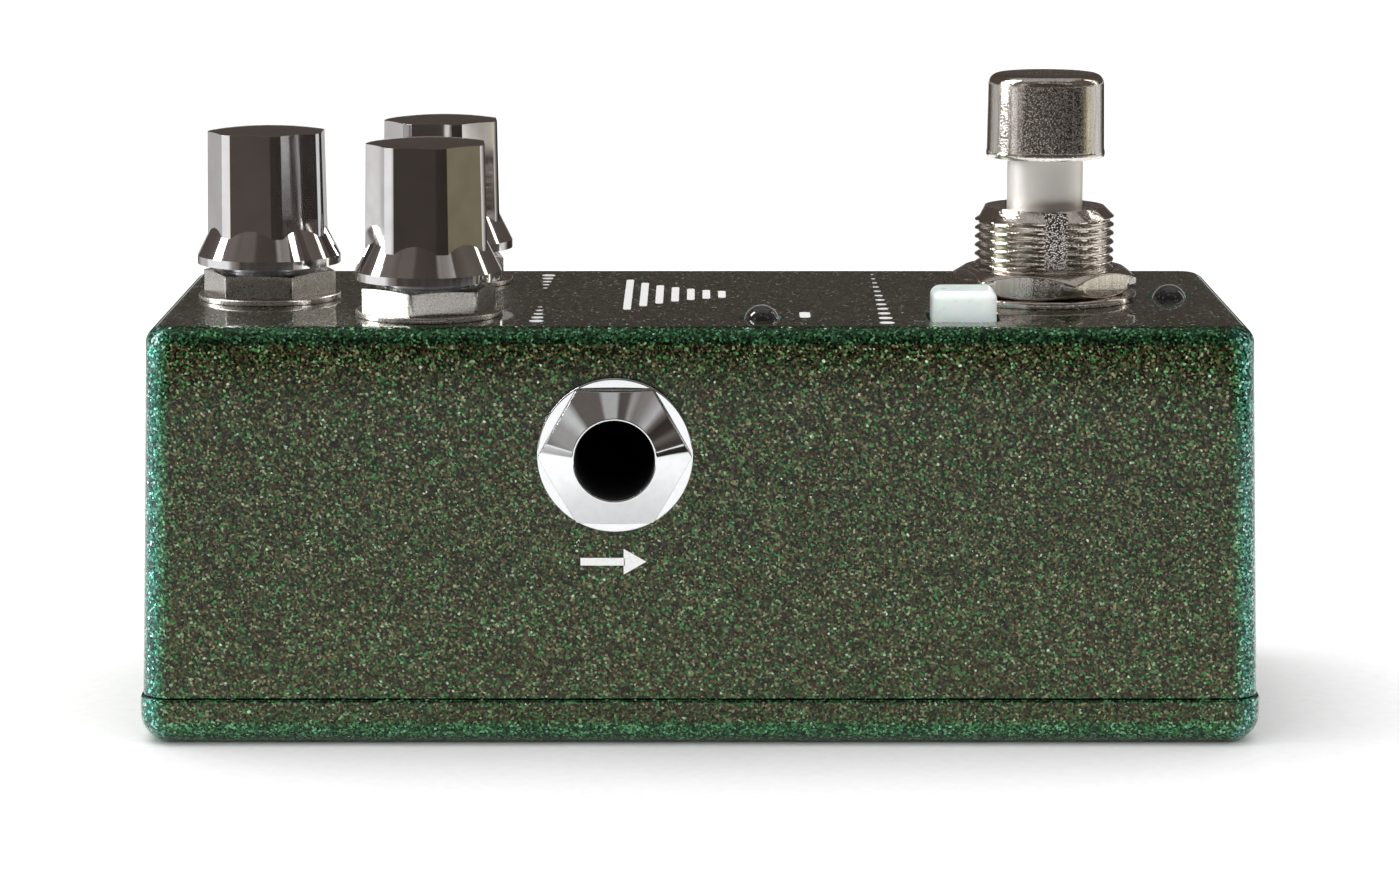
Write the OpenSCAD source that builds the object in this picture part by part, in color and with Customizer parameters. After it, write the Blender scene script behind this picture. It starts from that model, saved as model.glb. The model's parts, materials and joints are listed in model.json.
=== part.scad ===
// Compact guitar effects pedal: a die-cast shell on a bottom lid, three knobs,
// a footswitch, a lit mode button, two audio jacks and a power inlet.
// Millimetres. Origin at the bottom centre, +Z up, +X towards the footswitch,
// -Y towards the wall with the output jack.

/* [Enclosure] */
// Length of the bottom lid
lid_l = 93.8; // [92:0.1:110]
// Width of the bottom lid
lid_w = 38.6; // [38.4:0.1:50]
// Height of the top face above the table
box_h = 35.2; // [34.4:0.1:42]
// Height of the seam between the lid and the shell
seam_z = 4; // [3.5:0.1:4.4]
// Step from the lid's edge in to the shell's edge
seam_step = 0.25; // [0.05:0.05:0.5]
// Thickness of the shell's walls and top panel
wall = 2; // [1.6:0.1:2.3]
// Draft of the two end walls, in degrees
end_draft = 1.6; // [0.3:0.1:1.8]
// Draft of the two long walls, in degrees
side_draft = 0.5; // [0.2:0.1:0.8]
// Radius of the shell's upright corners
corner_r = 2.4; // [2.1:0.1:4]
// Radius of the shell's top edge
top_r = 1.5; // [0.8:0.1:2]
// Radius of the lid's bottom edge
lid_r = 2.4; // [1:0.1:2.5]
// Floor thickness of the lid inside its rim
lid_floor = 2.2; // [1.8:0.1:2.8]
// Height of the lid's locating ribs above the seam
rib_h = 1.3; // [0.8:0.1:1.5]
// Thickness of the lid's locating ribs
rib_t = 1.2; // [0.8:0.1:1.6]
// Diameter of the screw bosses in the corners
boss_d = 6; // [5:0.1:6.6]

/* [Lid screws] */
// Shank diameter of the lid screws
screw_d = 2.9; // [2.4:0.1:3.2]
// Head diameter of the lid screws
screw_head_d = 5.4; // [4.6:0.1:5.8]
// Length of the screws inside the bosses
screw_grip = 8; // [5:0.5:12]

/* [Knobs] */
// Distance of the single knob from the head end of the lid
knob_a_from_end = 9.7; // [9.2:0.05:10.2]
// Distance of the pair of knobs from the head end of the lid
knob_pair_from_end = 24.1; // [23.4:0.05:25.2]
// Distance of the pair of knobs from the long edges of the lid
knob_pair_from_edge = 8.9; // [8.7:0.05:10.2]
// Height of a knob
knob_h = 11.7; // [10:0.1:15]
// Diameter of a knob's grip at its top
knob_top_d = 10.2; // [9:0.1:11]
// Diameter of a knob's grip where it meets the skirt
knob_grip_d = 10.5; // [9.5:0.1:11.4]
// Diameter of a knob's skirt
knob_skirt_d = 12.3; // [11.8:0.1:13.4]
// Height of the skirt's upright rim
knob_rim_h = 0.7; // [0.4:0.1:1.2]
// Height of the skirt's flare
knob_flare_h = 1.8; // [1.2:0.1:2.4]
// Number of flat facets round the grip
knob_facets = 7; // [6:1:9]
// Angle that one flat facet takes up
facet_angle = 40; // [20:1:40]
// Radius of the round along the knob's top edge
knob_edge_r = 0.45; // [0.2:0.05:0.8]
// Gap between a knob and the nut below it
knob_gap = 0.6; // [0.4:0.1:1.5]

/* [Potentiometers] */
// Diameter of the shafts
shaft_d = 6; // [5.4:0.1:6.2]
// Depth of the flat on a shaft
shaft_flat = 1.3; // [0.8:0.1:1.8]
// How far a shaft reaches up into its knob
shaft_grip = 8.5; // [6:0.1:9]
// Diameter of the threaded bushes
pot_bush_d = 7; // [6.8:0.1:7.6]
// Height of a potentiometer below the panel
pot_h = 8.5; // [7.5:0.1:9.5]
// Width of a potentiometer's housing
pot_w = 9.8; // [9:0.1:10.4]
// Depth of a potentiometer's housing
pot_d = 11; // [10:0.1:11.6]
// Width of the nuts across flats
pot_nut_af = 10; // [9.4:0.1:11]
// Thickness of the nuts
pot_nut_t = 2; // [1.4:0.1:2.6]
// Diameter of the washers
pot_washer_d = 12.3; // [11.8:0.1:13]
// Thickness of the washers
pot_washer_t = 0.5; // [0.3:0.1:0.8]

/* [Footswitch] */
// Distance of the footswitch from the foot end of the lid
foot_from_end = 17.2; // [16.8:0.05:18.2]
// Diameter of the cap
cap_d = 10.2; // [9.4:0.1:12]
// Height of the cap
cap_h = 7.2; // [6:0.1:9]
// Radius of the cap's top edge
cap_r = 0.9; // [0.4:0.1:1.4]
// Taper of the cap's side towards its top
cap_taper = 0.15; // [0.05:0.05:0.3]
// Diameter of the shaft under the cap
stem_d = 6.5; // [6:0.1:7]
// Length of the shaft that shows under the cap
stem_show = 4.2; // [3.9:0.1:6]
// Travel of the cap
foot_travel = 3; // [2:0.1:3.3]
// Diameter of the threaded bush
bush_d = 12; // [11:0.1:12.6]
// Height of the bush above the top face
bush_h = 8; // [7:0.1:10]
// Width of the slot down the bush
bush_key_w = 2; // [1.4:0.1:2.4]
// Depth of the slot down the bush
bush_key_depth = 0.8; // [0.5:0.1:1.2]
// Width of the nut across flats
foot_nut_af = 14; // [13.6:0.1:15.4]
// Thickness of the nut
foot_nut_t = 2.1; // [1.6:0.1:3]
// Diameter of the washer
foot_washer_d = 16; // [15.4:0.1:17]
// Thickness of the washer
foot_washer_t = 0.6; // [0.4:0.1:1]
// Diameter of the lock washer under the panel
lock_d = 15.4; // [14.6:0.1:16]
// Thickness of the lock washer under the panel
lock_t = 0.8; // [0.6:0.1:1.2]
// Width of the switch housing
switch_w = 13.6; // [13:0.1:14.4]
// Height of the metal frame of the switch
switch_frame_h = 5; // [4:0.1:6]
// Height of the contact block of the switch
switch_block_h = 8; // [7.4:0.1:9]
// Length of the solder lugs
lug_l = 6.1; // [5:0.1:7]

/* [Mode button and lamps] */
// Distance of the mode button from the footswitch along the panel
mode_offset = 7.7; // [7.5:0.1:8.6]
// Distance of the mode button from the lid's edge
mode_from_edge = 6.95; // [6.6:0.05:7.2]
// Width of the mode button
mode_w = 5.4; // [4.8:0.1:5.8]
// Height of the mode button above the top face
mode_h = 2.5; // [2:0.1:4]
// Travel of the mode button
mode_travel = 1.2; // [0.6:0.1:1.5]
// Width of the switch under the mode button
mode_switch_w = 6; // [5.4:0.1:6.4]
// Height of the switch under the mode button
mode_switch_h = 8; // [7:0.1:8.6]
// Diameter of the lamp domes
led_d = 3; // [2.8:0.1:3.4]
// Height of the lamp domes above the top face
led_h = 1.1; // [0.8:0.1:1.4]
// Length of a lamp from its rim to its dome
led_l = 5.3; // [5:0.1:5.4]
// Place of the mode lamp along the panel
mode_led_x = 5.15; // [4:0.05:7]
// Distance of the mode lamp from the lid's edge
mode_led_from_edge = 6.65; // [6:0.05:6.8]
// Distance of the status lamp from the foot end of the lid
status_led_from_end = 6.3; // [5.6:0.05:6.4]

/* [Audio jacks] */
// Place of the output jack along the wall
out_jack_x = -7; // [-8:0.1:-6]
// Distance of the input jack from the foot end of the lid
in_jack_from_end = 34.15; // [34:0.05:36]
// Depth of the jacks' axes below the top face
jack_drop = 10.5; // [10:0.1:11]
// Diameter of the bore for the plug
plug_d = 6.5; // [6.4:0.05:6.8]
// Depth of the bore for the plug
plug_depth = 31; // [28:0.1:31.5]
// Diameter of the jacks' threaded bushes
jack_bush_d = 8.4; // [8:0.1:9]
// Width of the jack nuts across flats
jack_nut_af = 11; // [10.4:0.1:12]
// Thickness of the jack nuts
jack_nut_t = 2.6; // [2:0.1:3.2]
// Thickness of the jack nuts at their corners
jack_nut_rim = 0.8; // [0.5:0.1:1.2]
// Thickness of the lip that closes the jack nuts over their bushes
jack_lip = 0.7; // [0.5:0.1:1]
// Diameter of the jack washers
jack_washer_d = 12.9; // [12.4:0.1:14]
// Thickness of the jack washers
jack_washer_t = 0.5; // [0.3:0.1:0.8]
// Width of the jack housings
jack_w = 11.6; // [11:0.1:11.8]
// Height of the jack housings
jack_h = 12; // [11:0.1:12.6]
// Thickness of the jack housings' rear wall
jack_rear = 1.2; // [0.8:0.1:1.6]

/* [Power inlet] */
// Width of the inlet's housing
dc_w = 9; // [8.6:0.1:10]
// Height of the inlet's housing
dc_h = 9.4; // [9:0.1:10.2]
// Diameter of the inlet's round nose
dc_nose_d = 8.4; // [8:0.1:8.8]
// Diameter of the socket for the plug
dc_socket_d = 6.3; // [5.8:0.1:6.6]
// Depth of the socket
dc_depth = 9.5; // [8:0.1:11]
// Diameter of the centre pin
dc_pin_d = 2; // [1.8:0.05:2.5]
// Depth of the nose behind the outer face of the wall
dc_recess = 0.4; // [0.2:0.1:0.8]

/* [Boards] */
// Thickness of the circuit boards
board_t = 1.6; // [1:0.1:2]
// Gap between a circuit board and the shell
board_gap = 0.8; // [0.5:0.1:1.2]

/* [Fits] */
// Running clearance of shafts and stems, on the radius
run_fit = 0.05; // [0.02:0.01:0.1]
// Clearance of fixed pieces in their holes, on the radius
hole_fit = 0.15; // [0.05:0.05:0.3]
// Clearance round the mode button and between moving pieces
move_fit = 0.3; // [0.2:0.05:0.4]

/* [Hidden] */

$fn = 64;
hull_fn = 32;
eps = 0.01;
over = 1;

// Shell: sizes at the seam and at the top face
shell_l = lid_l - 2 * seam_step;
shell_w = lid_w - 2 * seam_step;
function end_half(z) = shell_l / 2 - (z - seam_z) * tan(end_draft);
function side_half(z) = shell_w / 2 - (z - seam_z) * tan(side_draft);
panel_z = box_h - wall;
inner_r = max(corner_r - wall, 0.6);
lid_corner_r = corner_r + seam_step;

// Screw bosses run into the walls by a part of the wall's thickness
boss_bite = 0.35 * wall;
boss_x = end_half(seam_z) - wall - boss_d / 2 + boss_bite;
boss_y = side_half(seam_z) - wall - boss_d / 2 + boss_bite;
screw_sink = 0.15;
screw_head_h = (screw_head_d - screw_d) / 2;
rib_end_gap = 1;
rib_run = boss_x - boss_d / 2 - rib_end_gap;
rib_y = side_half(seam_z + rib_h) - wall - hole_fit - rib_t;

// Heights of the boards and of what stands between them
jack_z = box_h - jack_drop;
board_top = jack_z - jack_h / 2;
board_z = board_top - board_t;
control_top = panel_z - pot_h;
control_z = control_top - board_t;
frame_top = panel_z - lock_t;
block_top = frame_top - switch_frame_h;
block_z = block_top - switch_block_h;
switch_board_top = block_z - lug_l;
board_half_l = end_half(board_top) - wall - board_gap;
board_half_w = side_half(board_top) - wall - board_gap;
header_w = 2.5;
control_strip_w = 2.2;
control_strip_l = 14;
switch_strip_l = 12;
chip_l = 9.9;
chip_w = 3.9;
chip_t = 1.6;
chip_pitch = 15;
chip_gap = 1.3;
chip_rows = [-6, 2];
can_d = 5;
can_h = 5.8;
can_pitch = 13;

// Knobs and potentiometers: place, turn of the facets, turn of the nut
knob_a_x = knob_a_from_end - lid_l / 2;
knob_b_x = knob_pair_from_end - lid_l / 2;
mix_at = [knob_a_x, 0];
knob_b_y = lid_w / 2 - knob_pair_from_edge;
repeats_at = [knob_b_x, -knob_b_y];
time_at = [knob_b_x, knob_b_y];
pots_at = [mix_at, repeats_at, time_at];
pot_nut_turns = [-5, 18, 40];
mix_land = -76.7;
repeats_land = -73;
time_land = -72;
pot_nut_top = box_h + pot_washer_t + pot_nut_t;
knob_z = pot_nut_top + knob_gap;
pot_bush_top = pot_nut_top + knob_gap / 2;
pot_shoulder_h = 1.2;
pot_shoulder_step = 0.6;
pot_floor = 2;
shaft_z = control_top + pot_floor + move_fit;
control_end_gap = 1.2;
control_end_x = out_jack_x - jack_w / 2 - control_end_gap;
pot_pin_pitch = 2.5;
pot_pin_w = 0.9;
pot_pin_t = 0.4;
pot_pin_l = 3;

// Footswitch
foot_x = lid_l / 2 - foot_from_end;
bush_top = box_h + bush_h;
cap_z = bush_top + stem_show;
stem_grip = 4;
stem_z = block_top + move_fit;
spring_wire = 0.7;
spring_r = stem_d / 2 - spring_wire;
spring_turns = 5;
spring_solid = (spring_turns + 1) * spring_wire;
spring_z = stem_z - foot_travel - spring_solid;
foot_nut_z = box_h + foot_washer_t;
switch_clear = 0.5;
switch_cut = switch_w + 2 * switch_clear;
header_edge = 0.6;
switch_header_x = switch_cut / 2 + header_edge + header_w / 2;
switch_board_half_l = switch_header_x + header_w / 2 + header_edge;
lug_t = 0.6;
lug_w = 2.4;
lug_columns = [-4, 4];
lug_rows = [-4.7, 0, 4.7];

// Mode button and lamps
mode_at = [foot_x - mode_offset, mode_from_edge - lid_w / 2];
mode_flange_t = 1;
mode_flange_step = 0.7;
mode_flange_w = mode_w + 2 * mode_flange_step;
mode_flange_z = panel_z - move_fit - mode_flange_t;
mode_skirt = 1;
mode_button_z = mode_flange_z - mode_skirt;
mode_stem_w = 3;
mode_stem_grip = 0.5;
mode_stem_top = panel_z + mode_stem_grip;
mode_stem_hold = 1;
mode_stem_z = board_top + mode_switch_h - mode_travel - mode_stem_hold;
mode_led_at = [mode_led_x, mode_led_from_edge - lid_w / 2];
status_led_at = [lid_l / 2 - status_led_from_end, 0];
led_z = box_h + led_h - led_l;
led_rim_step = 0.4;
led_rim_d = led_d + 2 * led_rim_step;
leg_pitch = 2.54;
leg_w = 0.5;

// Audio jacks, measured out from the middle of the pedal towards the wall
in_jack_x = lid_l / 2 - in_jack_from_end;
jack_face = side_half(jack_z + jack_washer_d / 2);
jack_front = side_half(jack_z + jack_h / 2) - wall - run_fit;
jack_mouth = jack_face + jack_washer_t + jack_nut_t;
jack_bush_end = jack_mouth - jack_lip - run_fit;
jack_back = jack_mouth - plug_depth - jack_rear;
contact_w = 2.8;
contact_t = 0.35;
contact_depths = [13, 21];
contact_run = 6;

// Power inlet, measured out from the middle towards the head wall
dc_z = board_z - dc_h / 2;
dc_mouth = end_half(dc_z) - dc_recess;
dc_front = end_half(board_z) - wall - hole_fit;
dc_rear = 2.5;
dc_back = dc_mouth - dc_depth - dc_rear;
dc_blade_w = 2.4;
dc_blade_l = 5;

// Repeats its children at the four corners of a plate, inset by a radius
module at_corners(half_l, half_w, inset) {
    for (sx = [-1, 1], sy = [-1, 1])
        translate([sx * (half_l - inset), sy * (half_w - inset), 0])
            children();
}

// Round corner with its upper edge rolled over: r is the corner, edge the roll
module corner_roll(r, edge) {
    rotate_extrude($fn = hull_fn)
        intersection() {
            translate([r - edge, 0])
                circle(edge, $fn = hull_fn);
            square([r, edge]);
        }
}

// Flat ring
module ring(outer_d, inner_d, t) {
    difference() {
        cylinder(d = outer_d, h = t);
        translate([0, 0, -over])
            cylinder(d = inner_d, h = t + 2 * over);
    }
}

// Hexagon nut with its upper corners turned off
module hex_nut(af, bore, t) {
    corner_d = af / cos(30);
    turn_off = (corner_d - af) / 2 * 0.6;
    difference() {
        intersection() {
            cylinder(d = corner_d, h = t, $fn = 6);
            union() {
                cylinder(d = corner_d + eps, h = t - turn_off);
                translate([0, 0, t - turn_off])
                    cylinder(d1 = corner_d + eps, d2 = af, h = turn_off);
            }
        }
        translate([0, 0, -over])
            cylinder(d = bore, h = t + 2 * over);
    }
}

// Square bar with its upright edges rounded
module square_bar(w, r, h) {
    linear_extrude(h)
        union() {
            square([w, w - 2 * r], center = true);
            square([w - 2 * r, w], center = true);
            at_corners(w / 2, w / 2, r)
                circle(r);
        }
}

// Turns a jack's pieces to face the wall of the output side, or the far wall
module jack_side(x, turn) {
    rotate([0, 0, turn])
        translate([turn == 0 ? x : -x, 0, jack_z])
            rotate([90, 0, 0])
                children();
}

module shell_outside() {
    hull() {
        translate([0, 0, seam_z])
            at_corners(end_half(seam_z), side_half(seam_z), corner_r)
                cylinder(r = corner_r, h = eps, $fn = hull_fn);
        translate([0, 0, box_h - top_r])
            at_corners(end_half(box_h), side_half(box_h), corner_r)
                corner_roll(corner_r, top_r);
    }
}

module shell_inside() {
    hull() {
        translate([0, 0, seam_z - over])
            at_corners(end_half(seam_z) - wall, side_half(seam_z) - wall, inner_r)
                cylinder(r = inner_r, h = over, $fn = hull_fn);
        translate([0, 0, panel_z - eps])
            at_corners(end_half(panel_z) - wall, side_half(panel_z) - wall, inner_r)
                cylinder(r = inner_r, h = eps, $fn = hull_fn);
    }
}

module enclosure() {
    color("darkgreen")
        difference() {
            union() {
                difference() {
                    shell_outside();
                    shell_inside();
                }
                at_corners(boss_x, boss_y, 0)
                    translate([0, 0, seam_z])
                        cylinder(d = boss_d, h = panel_z + wall / 2 - seam_z);
            }
            at_corners(boss_x, boss_y, 0)
                translate([0, 0, seam_z - over])
                    cylinder(d = screw_d + 2 * run_fit, h = screw_grip + 2 * over);
            for (at = pots_at)
                translate([at.x, at.y, panel_z - over])
                    cylinder(d = pot_bush_d + 2 * hole_fit, h = wall + 2 * over);
            translate([foot_x, 0, panel_z - over])
                cylinder(d = bush_d + 2 * hole_fit, h = wall + 2 * over);
            for (at = [mode_led_at, status_led_at])
                translate([at.x, at.y, panel_z - over])
                    cylinder(d = led_d + 2 * run_fit, h = wall + 2 * over);
            translate([mode_at.x, mode_at.y, panel_z - over])
                square_bar(mode_w + 2 * move_fit, 1, wall + 2 * over);
            for (side = [[out_jack_x, 0], [in_jack_x, 180]])
                jack_side(side[0], side[1]) {
                    translate([0, 0, jack_front - over])
                        cylinder(d = jack_bush_d + 2 * hole_fit, h = wall + 3 * over);
                    translate([0, 0, jack_face])
                        cylinder(d = jack_washer_d + 2 * hole_fit, h = over);
                }
            translate([-dc_front + over, 0, dc_z])
                rotate([0, -90, 0])
                    cylinder(d = dc_nose_d + 2 * hole_fit, h = wall + 3 * over);
        }
}

module bottom_lid() {
    color("darkgreen")
        difference() {
            union() {
                hull() {
                    translate([0, 0, lid_r])
                        at_corners(lid_l / 2, lid_w / 2, lid_corner_r)
                            mirror([0, 0, 1])
                                corner_roll(lid_corner_r, lid_r);
                    translate([0, 0, seam_z - eps])
                        at_corners(lid_l / 2, lid_w / 2, lid_corner_r)
                            cylinder(r = lid_corner_r, h = eps, $fn = hull_fn);
                }
                for (sy = [-1, 1])
                    translate([-rib_run, sy * (rib_y + rib_t / 2) - rib_t / 2, seam_z - over])
                        cube([2 * rib_run, rib_t, rib_h + over]);
            }
            translate([-rib_run, -rib_y, lid_floor])
                cube([2 * rib_run, 2 * rib_y, seam_z]);
            at_corners(boss_x, boss_y, 0) {
                translate([0, 0, -over])
                    cylinder(d = screw_d + 2 * hole_fit, h = seam_z + 2 * over);
                translate([0, 0, -eps])
                    cylinder(d = screw_head_d + 2 * run_fit, h = screw_sink + 2 * eps);
                translate([0, 0, screw_sink])
                    cylinder(d1 = screw_head_d + 2 * run_fit, d2 = screw_d + 2 * run_fit, h = screw_head_h);
            }
        }
}

module lid_screws() {
    color("silver")
        at_corners(boss_x, boss_y, 0)
            translate([0, 0, screw_sink]) {
                cylinder(d1 = screw_head_d, d2 = screw_d, h = screw_head_h);
                translate([0, 0, screw_head_h - eps])
                    cylinder(d = screw_d, h = seam_z + screw_grip - screw_sink - screw_head_h + eps);
            }
}

module main_board() {
    color("seagreen")
        translate([0, 0, board_z])
            linear_extrude(board_t)
                difference() {
                    square([2 * board_half_l, 2 * board_half_w], center = true);
                    at_corners(boss_x, boss_y, 0)
                        circle(d = boss_d + 2 * board_gap);
                    for (sx = [-1, 1], sy = [-1, 1])
                        translate([sx * (boss_x + boss_d / 2), sy * (boss_y + boss_d / 2)])
                            square(boss_d + 2 * board_gap, center = true);
                    translate([foot_x, 0])
                        square(switch_cut, center = true);
                }
}

module control_board() {
    head_x = -(end_half(control_top) - wall - board_gap);
    half_w = side_half(control_top) - wall - board_gap;
    color("seagreen")
        translate([0, 0, control_z])
            linear_extrude(board_t)
                difference() {
                    translate([head_x, -half_w])
                        square([control_end_x - head_x, 2 * half_w]);
                    for (sy = [-1, 1]) {
                        translate([-boss_x, sy * boss_y])
                            circle(d = boss_d + 2 * board_gap);
                        translate([-boss_x - boss_d / 2, sy * (boss_y + boss_d / 2)])
                            square(boss_d + 2 * board_gap, center = true);
                    }
                }
}

module switch_board() {
    half_w = switch_w / 2 + board_gap;
    color("seagreen")
        translate([foot_x - switch_board_half_l, -half_w, switch_board_top - board_t])
            cube([2 * switch_board_half_l, 2 * half_w, board_t]);
}

// Rows of connector strips that join the control board to the main board
module control_headers() {
    pot_gap = 1.6;
    rows = [knob_a_x + pot_w / 2 + pot_gap, control_end_x - header_w];
    color("dimgray")
        for (x = rows)
            translate([x, -control_strip_l / 2, board_top])
                cube([control_strip_w, control_strip_l, control_z - board_top]);
}

module switch_headers() {
    color("dimgray")
        for (side = [-1, 1])
            translate([foot_x + side * switch_header_x - header_w / 2, -switch_strip_l / 2, switch_board_top])
                cube([header_w, switch_strip_l, board_z - switch_board_top]);
}

module chips() {
    last_x = foot_x - switch_board_half_l - chip_gap - chip_l;
    color("black")
        for (i = [0:2], y = chip_rows)
            translate([last_x - i * chip_pitch, y, board_z - chip_t])
                cube([chip_l, chip_w, chip_t]);
}

module capacitors() {
    can_y = board_half_w - can_d / 2 - board_gap;
    color("slategray")
        for (i = [-1:1], side = [-1, 1])
            translate([out_jack_x + i * can_pitch, side * can_y, board_z - can_h])
                cylinder(d = can_d, h = can_h);
}

// Housing of an audio jack: a block with a threaded bush and a stepped bore
module jack_body() {
    bore_r = plug_d / 2;
    groove_w = 1.2;
    groove_rise = 2;
    groove_y = groove_rise - jack_h / 2;
    difference() {
        union() {
            translate([-jack_w / 2, -jack_h / 2, jack_back])
                cube([jack_w, jack_h, jack_front - jack_back]);
            translate([0, 0, jack_front - over])
                cylinder(d = jack_bush_d, h = jack_bush_end - jack_front + over);
        }
        translate([0, 0, jack_mouth - plug_depth])
            cylinder(r = bore_r, h = plug_depth + over);
        for (depth = contact_depths)
            translate([-contact_w / 2 - hole_fit, 0, jack_mouth - depth - contact_run])
                cube([contact_w + 2 * hole_fit, jack_h, contact_run]);
        for (side = [-1, 1])
            translate([side * jack_w / 2, groove_y, jack_back - over])
                rotate([0, 0, 45])
                    cube([groove_w, groove_w, 3 * (jack_front - jack_back)], center = true);
    }
}

// Contact blades: each lies on the housing's top and dips through its window
module jack_springs() {
    low = plug_d / 2 + hole_fit;
    high = jack_h / 2;
    tail = 2.5;
    lift = 1;
    for (depth = contact_depths) {
        rear = jack_mouth - depth - contact_run;
        under = [
            [rear - tail, high], [rear + hole_fit, high],
            [rear + contact_run / 2, low], [rear + contact_run - hole_fit, low + lift]
        ];
        over_side = [for (i = [len(under) - 1:-1:0]) under[i] + [0, contact_t]];
        translate([contact_w / 2, 0, 0])
            rotate([0, -90, 0])
                linear_extrude(contact_w)
                    polygon(concat(under, over_side));
    }
}

// Hexagon nut with a coned face, whose lip closes over the end of the bush
module jack_nut() {
    corner_r6 = jack_nut_af / 2 / cos(30);
    bush_r = jack_bush_d / 2 + run_fit;
    lip_r = plug_d / 2 + run_fit;
    lip_round = 0.3;
    round_c = [lip_r + lip_round, jack_nut_t - lip_round];
    mouth = [for (a = [90:30:180]) round_c + lip_round * [cos(a), sin(a)]];
    inside = [[lip_r, jack_nut_t - jack_lip], [bush_r, jack_nut_t - jack_lip], [bush_r, 0]];
    translate([0, 0, jack_face + jack_washer_t])
        intersection() {
            cylinder(r = corner_r6, h = jack_nut_t, $fn = 6);
            rotate_extrude()
                polygon(concat([[corner_r6, 0], [corner_r6, jack_nut_rim]], mouth, inside));
        }
}

module jack_washer() {
    translate([0, 0, jack_face])
        ring(jack_washer_d, jack_bush_d + 2 * hole_fit, jack_washer_t);
}

module out_jack_body() {
    color("dimgray")
        jack_side(out_jack_x, 0)
            jack_body();
}

module out_jack_springs() {
    color("gold")
        jack_side(out_jack_x, 0)
            jack_springs();
}

module out_jack_nut() {
    color("silver")
        jack_side(out_jack_x, 0)
            jack_nut();
}

module out_jack_washer() {
    color("silver")
        jack_side(out_jack_x, 0)
            jack_washer();
}

module in_jack_body() {
    color("dimgray")
        jack_side(in_jack_x, 180)
            jack_body();
}

module in_jack_springs() {
    color("gold")
        jack_side(in_jack_x, 180)
            jack_springs();
}

module in_jack_nut() {
    color("silver")
        jack_side(in_jack_x, 180)
            jack_nut();
}

module in_jack_washer() {
    color("silver")
        jack_side(in_jack_x, 180)
            jack_washer();
}

// Turns the inlet's pieces to face the head wall, with their X upwards
module dc_side() {
    translate([0, 0, dc_z])
        rotate([0, -90, 0])
            children();
}

module dc_jack_body() {
    color("dimgray")
        dc_side()
            difference() {
                union() {
                    translate([-dc_h / 2, -dc_w / 2, dc_back])
                        cube([dc_h, dc_w, dc_front - dc_back]);
                    translate([0, 0, dc_front - over])
                        cylinder(d = dc_nose_d, h = dc_mouth - dc_front + over);
                }
                translate([0, 0, dc_mouth - dc_depth])
                    cylinder(d = dc_socket_d, h = dc_depth + over);
                translate([-dc_h / 2 - over, -dc_blade_w / 2 - hole_fit, dc_mouth - dc_depth])
                    cube([dc_h / 2 + over, dc_blade_w + 2 * hole_fit, dc_blade_l + 2 * hole_fit]);
            }
}

module dc_jack_pin() {
    pin_below_mouth = 0.8;
    pin_l = dc_depth - pin_below_mouth - dc_pin_d / 2;
    color("silver")
        dc_side()
            translate([0, 0, dc_mouth - dc_depth]) {
                cylinder(d = dc_pin_d, h = pin_l);
                translate([0, 0, pin_l])
                    sphere(d = dc_pin_d);
            }
}

// Contact blade beside the socket, with a tail down to the housing's underside
module dc_jack_spring() {
    blade_t = 0.3;
    high = -dc_socket_d / 2 - hole_fit;
    color("gold")
        dc_side()
            translate([0, -dc_blade_w / 2, dc_mouth - dc_depth]) {
                translate([high - blade_t, 0, 0])
                    cube([blade_t, dc_blade_w, dc_blade_l]);
                translate([-dc_h / 2, 0, 0])
                    cube([dc_h / 2 + high, dc_blade_w, blade_t]);
            }
}

// Potentiometer: housing on the control board, shoulder under the panel, bush
module pot(at) {
    color("dimgray")
        translate([at.x, at.y, 0])
            difference() {
                union() {
                    translate([-pot_w / 2, -pot_d / 2, control_top])
                        cube([pot_w, pot_d, pot_h - pot_shoulder_h]);
                    translate([0, 0, panel_z - pot_shoulder_h])
                        cylinder(d = pot_w - pot_shoulder_step, h = pot_shoulder_h);
                    translate([0, 0, panel_z - over])
                        cylinder(d = pot_bush_d, h = pot_bush_top - panel_z + over);
                }
                translate([0, 0, control_top + pot_floor])
                    cylinder(d = shaft_d + 2 * run_fit, h = pot_bush_top);
            }
}

// Shaft with a flat where the knob grips it
module pot_shaft(at) {
    top = knob_z + shaft_grip;
    color("silver")
        translate([at.x, at.y, 0])
            difference() {
                translate([0, 0, shaft_z])
                    cylinder(d = shaft_d, h = top - shaft_z);
                translate([-shaft_d / 2, shaft_d / 2 - shaft_flat, pot_bush_top])
                    cube([shaft_d, shaft_d, top]);
            }
}

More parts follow.
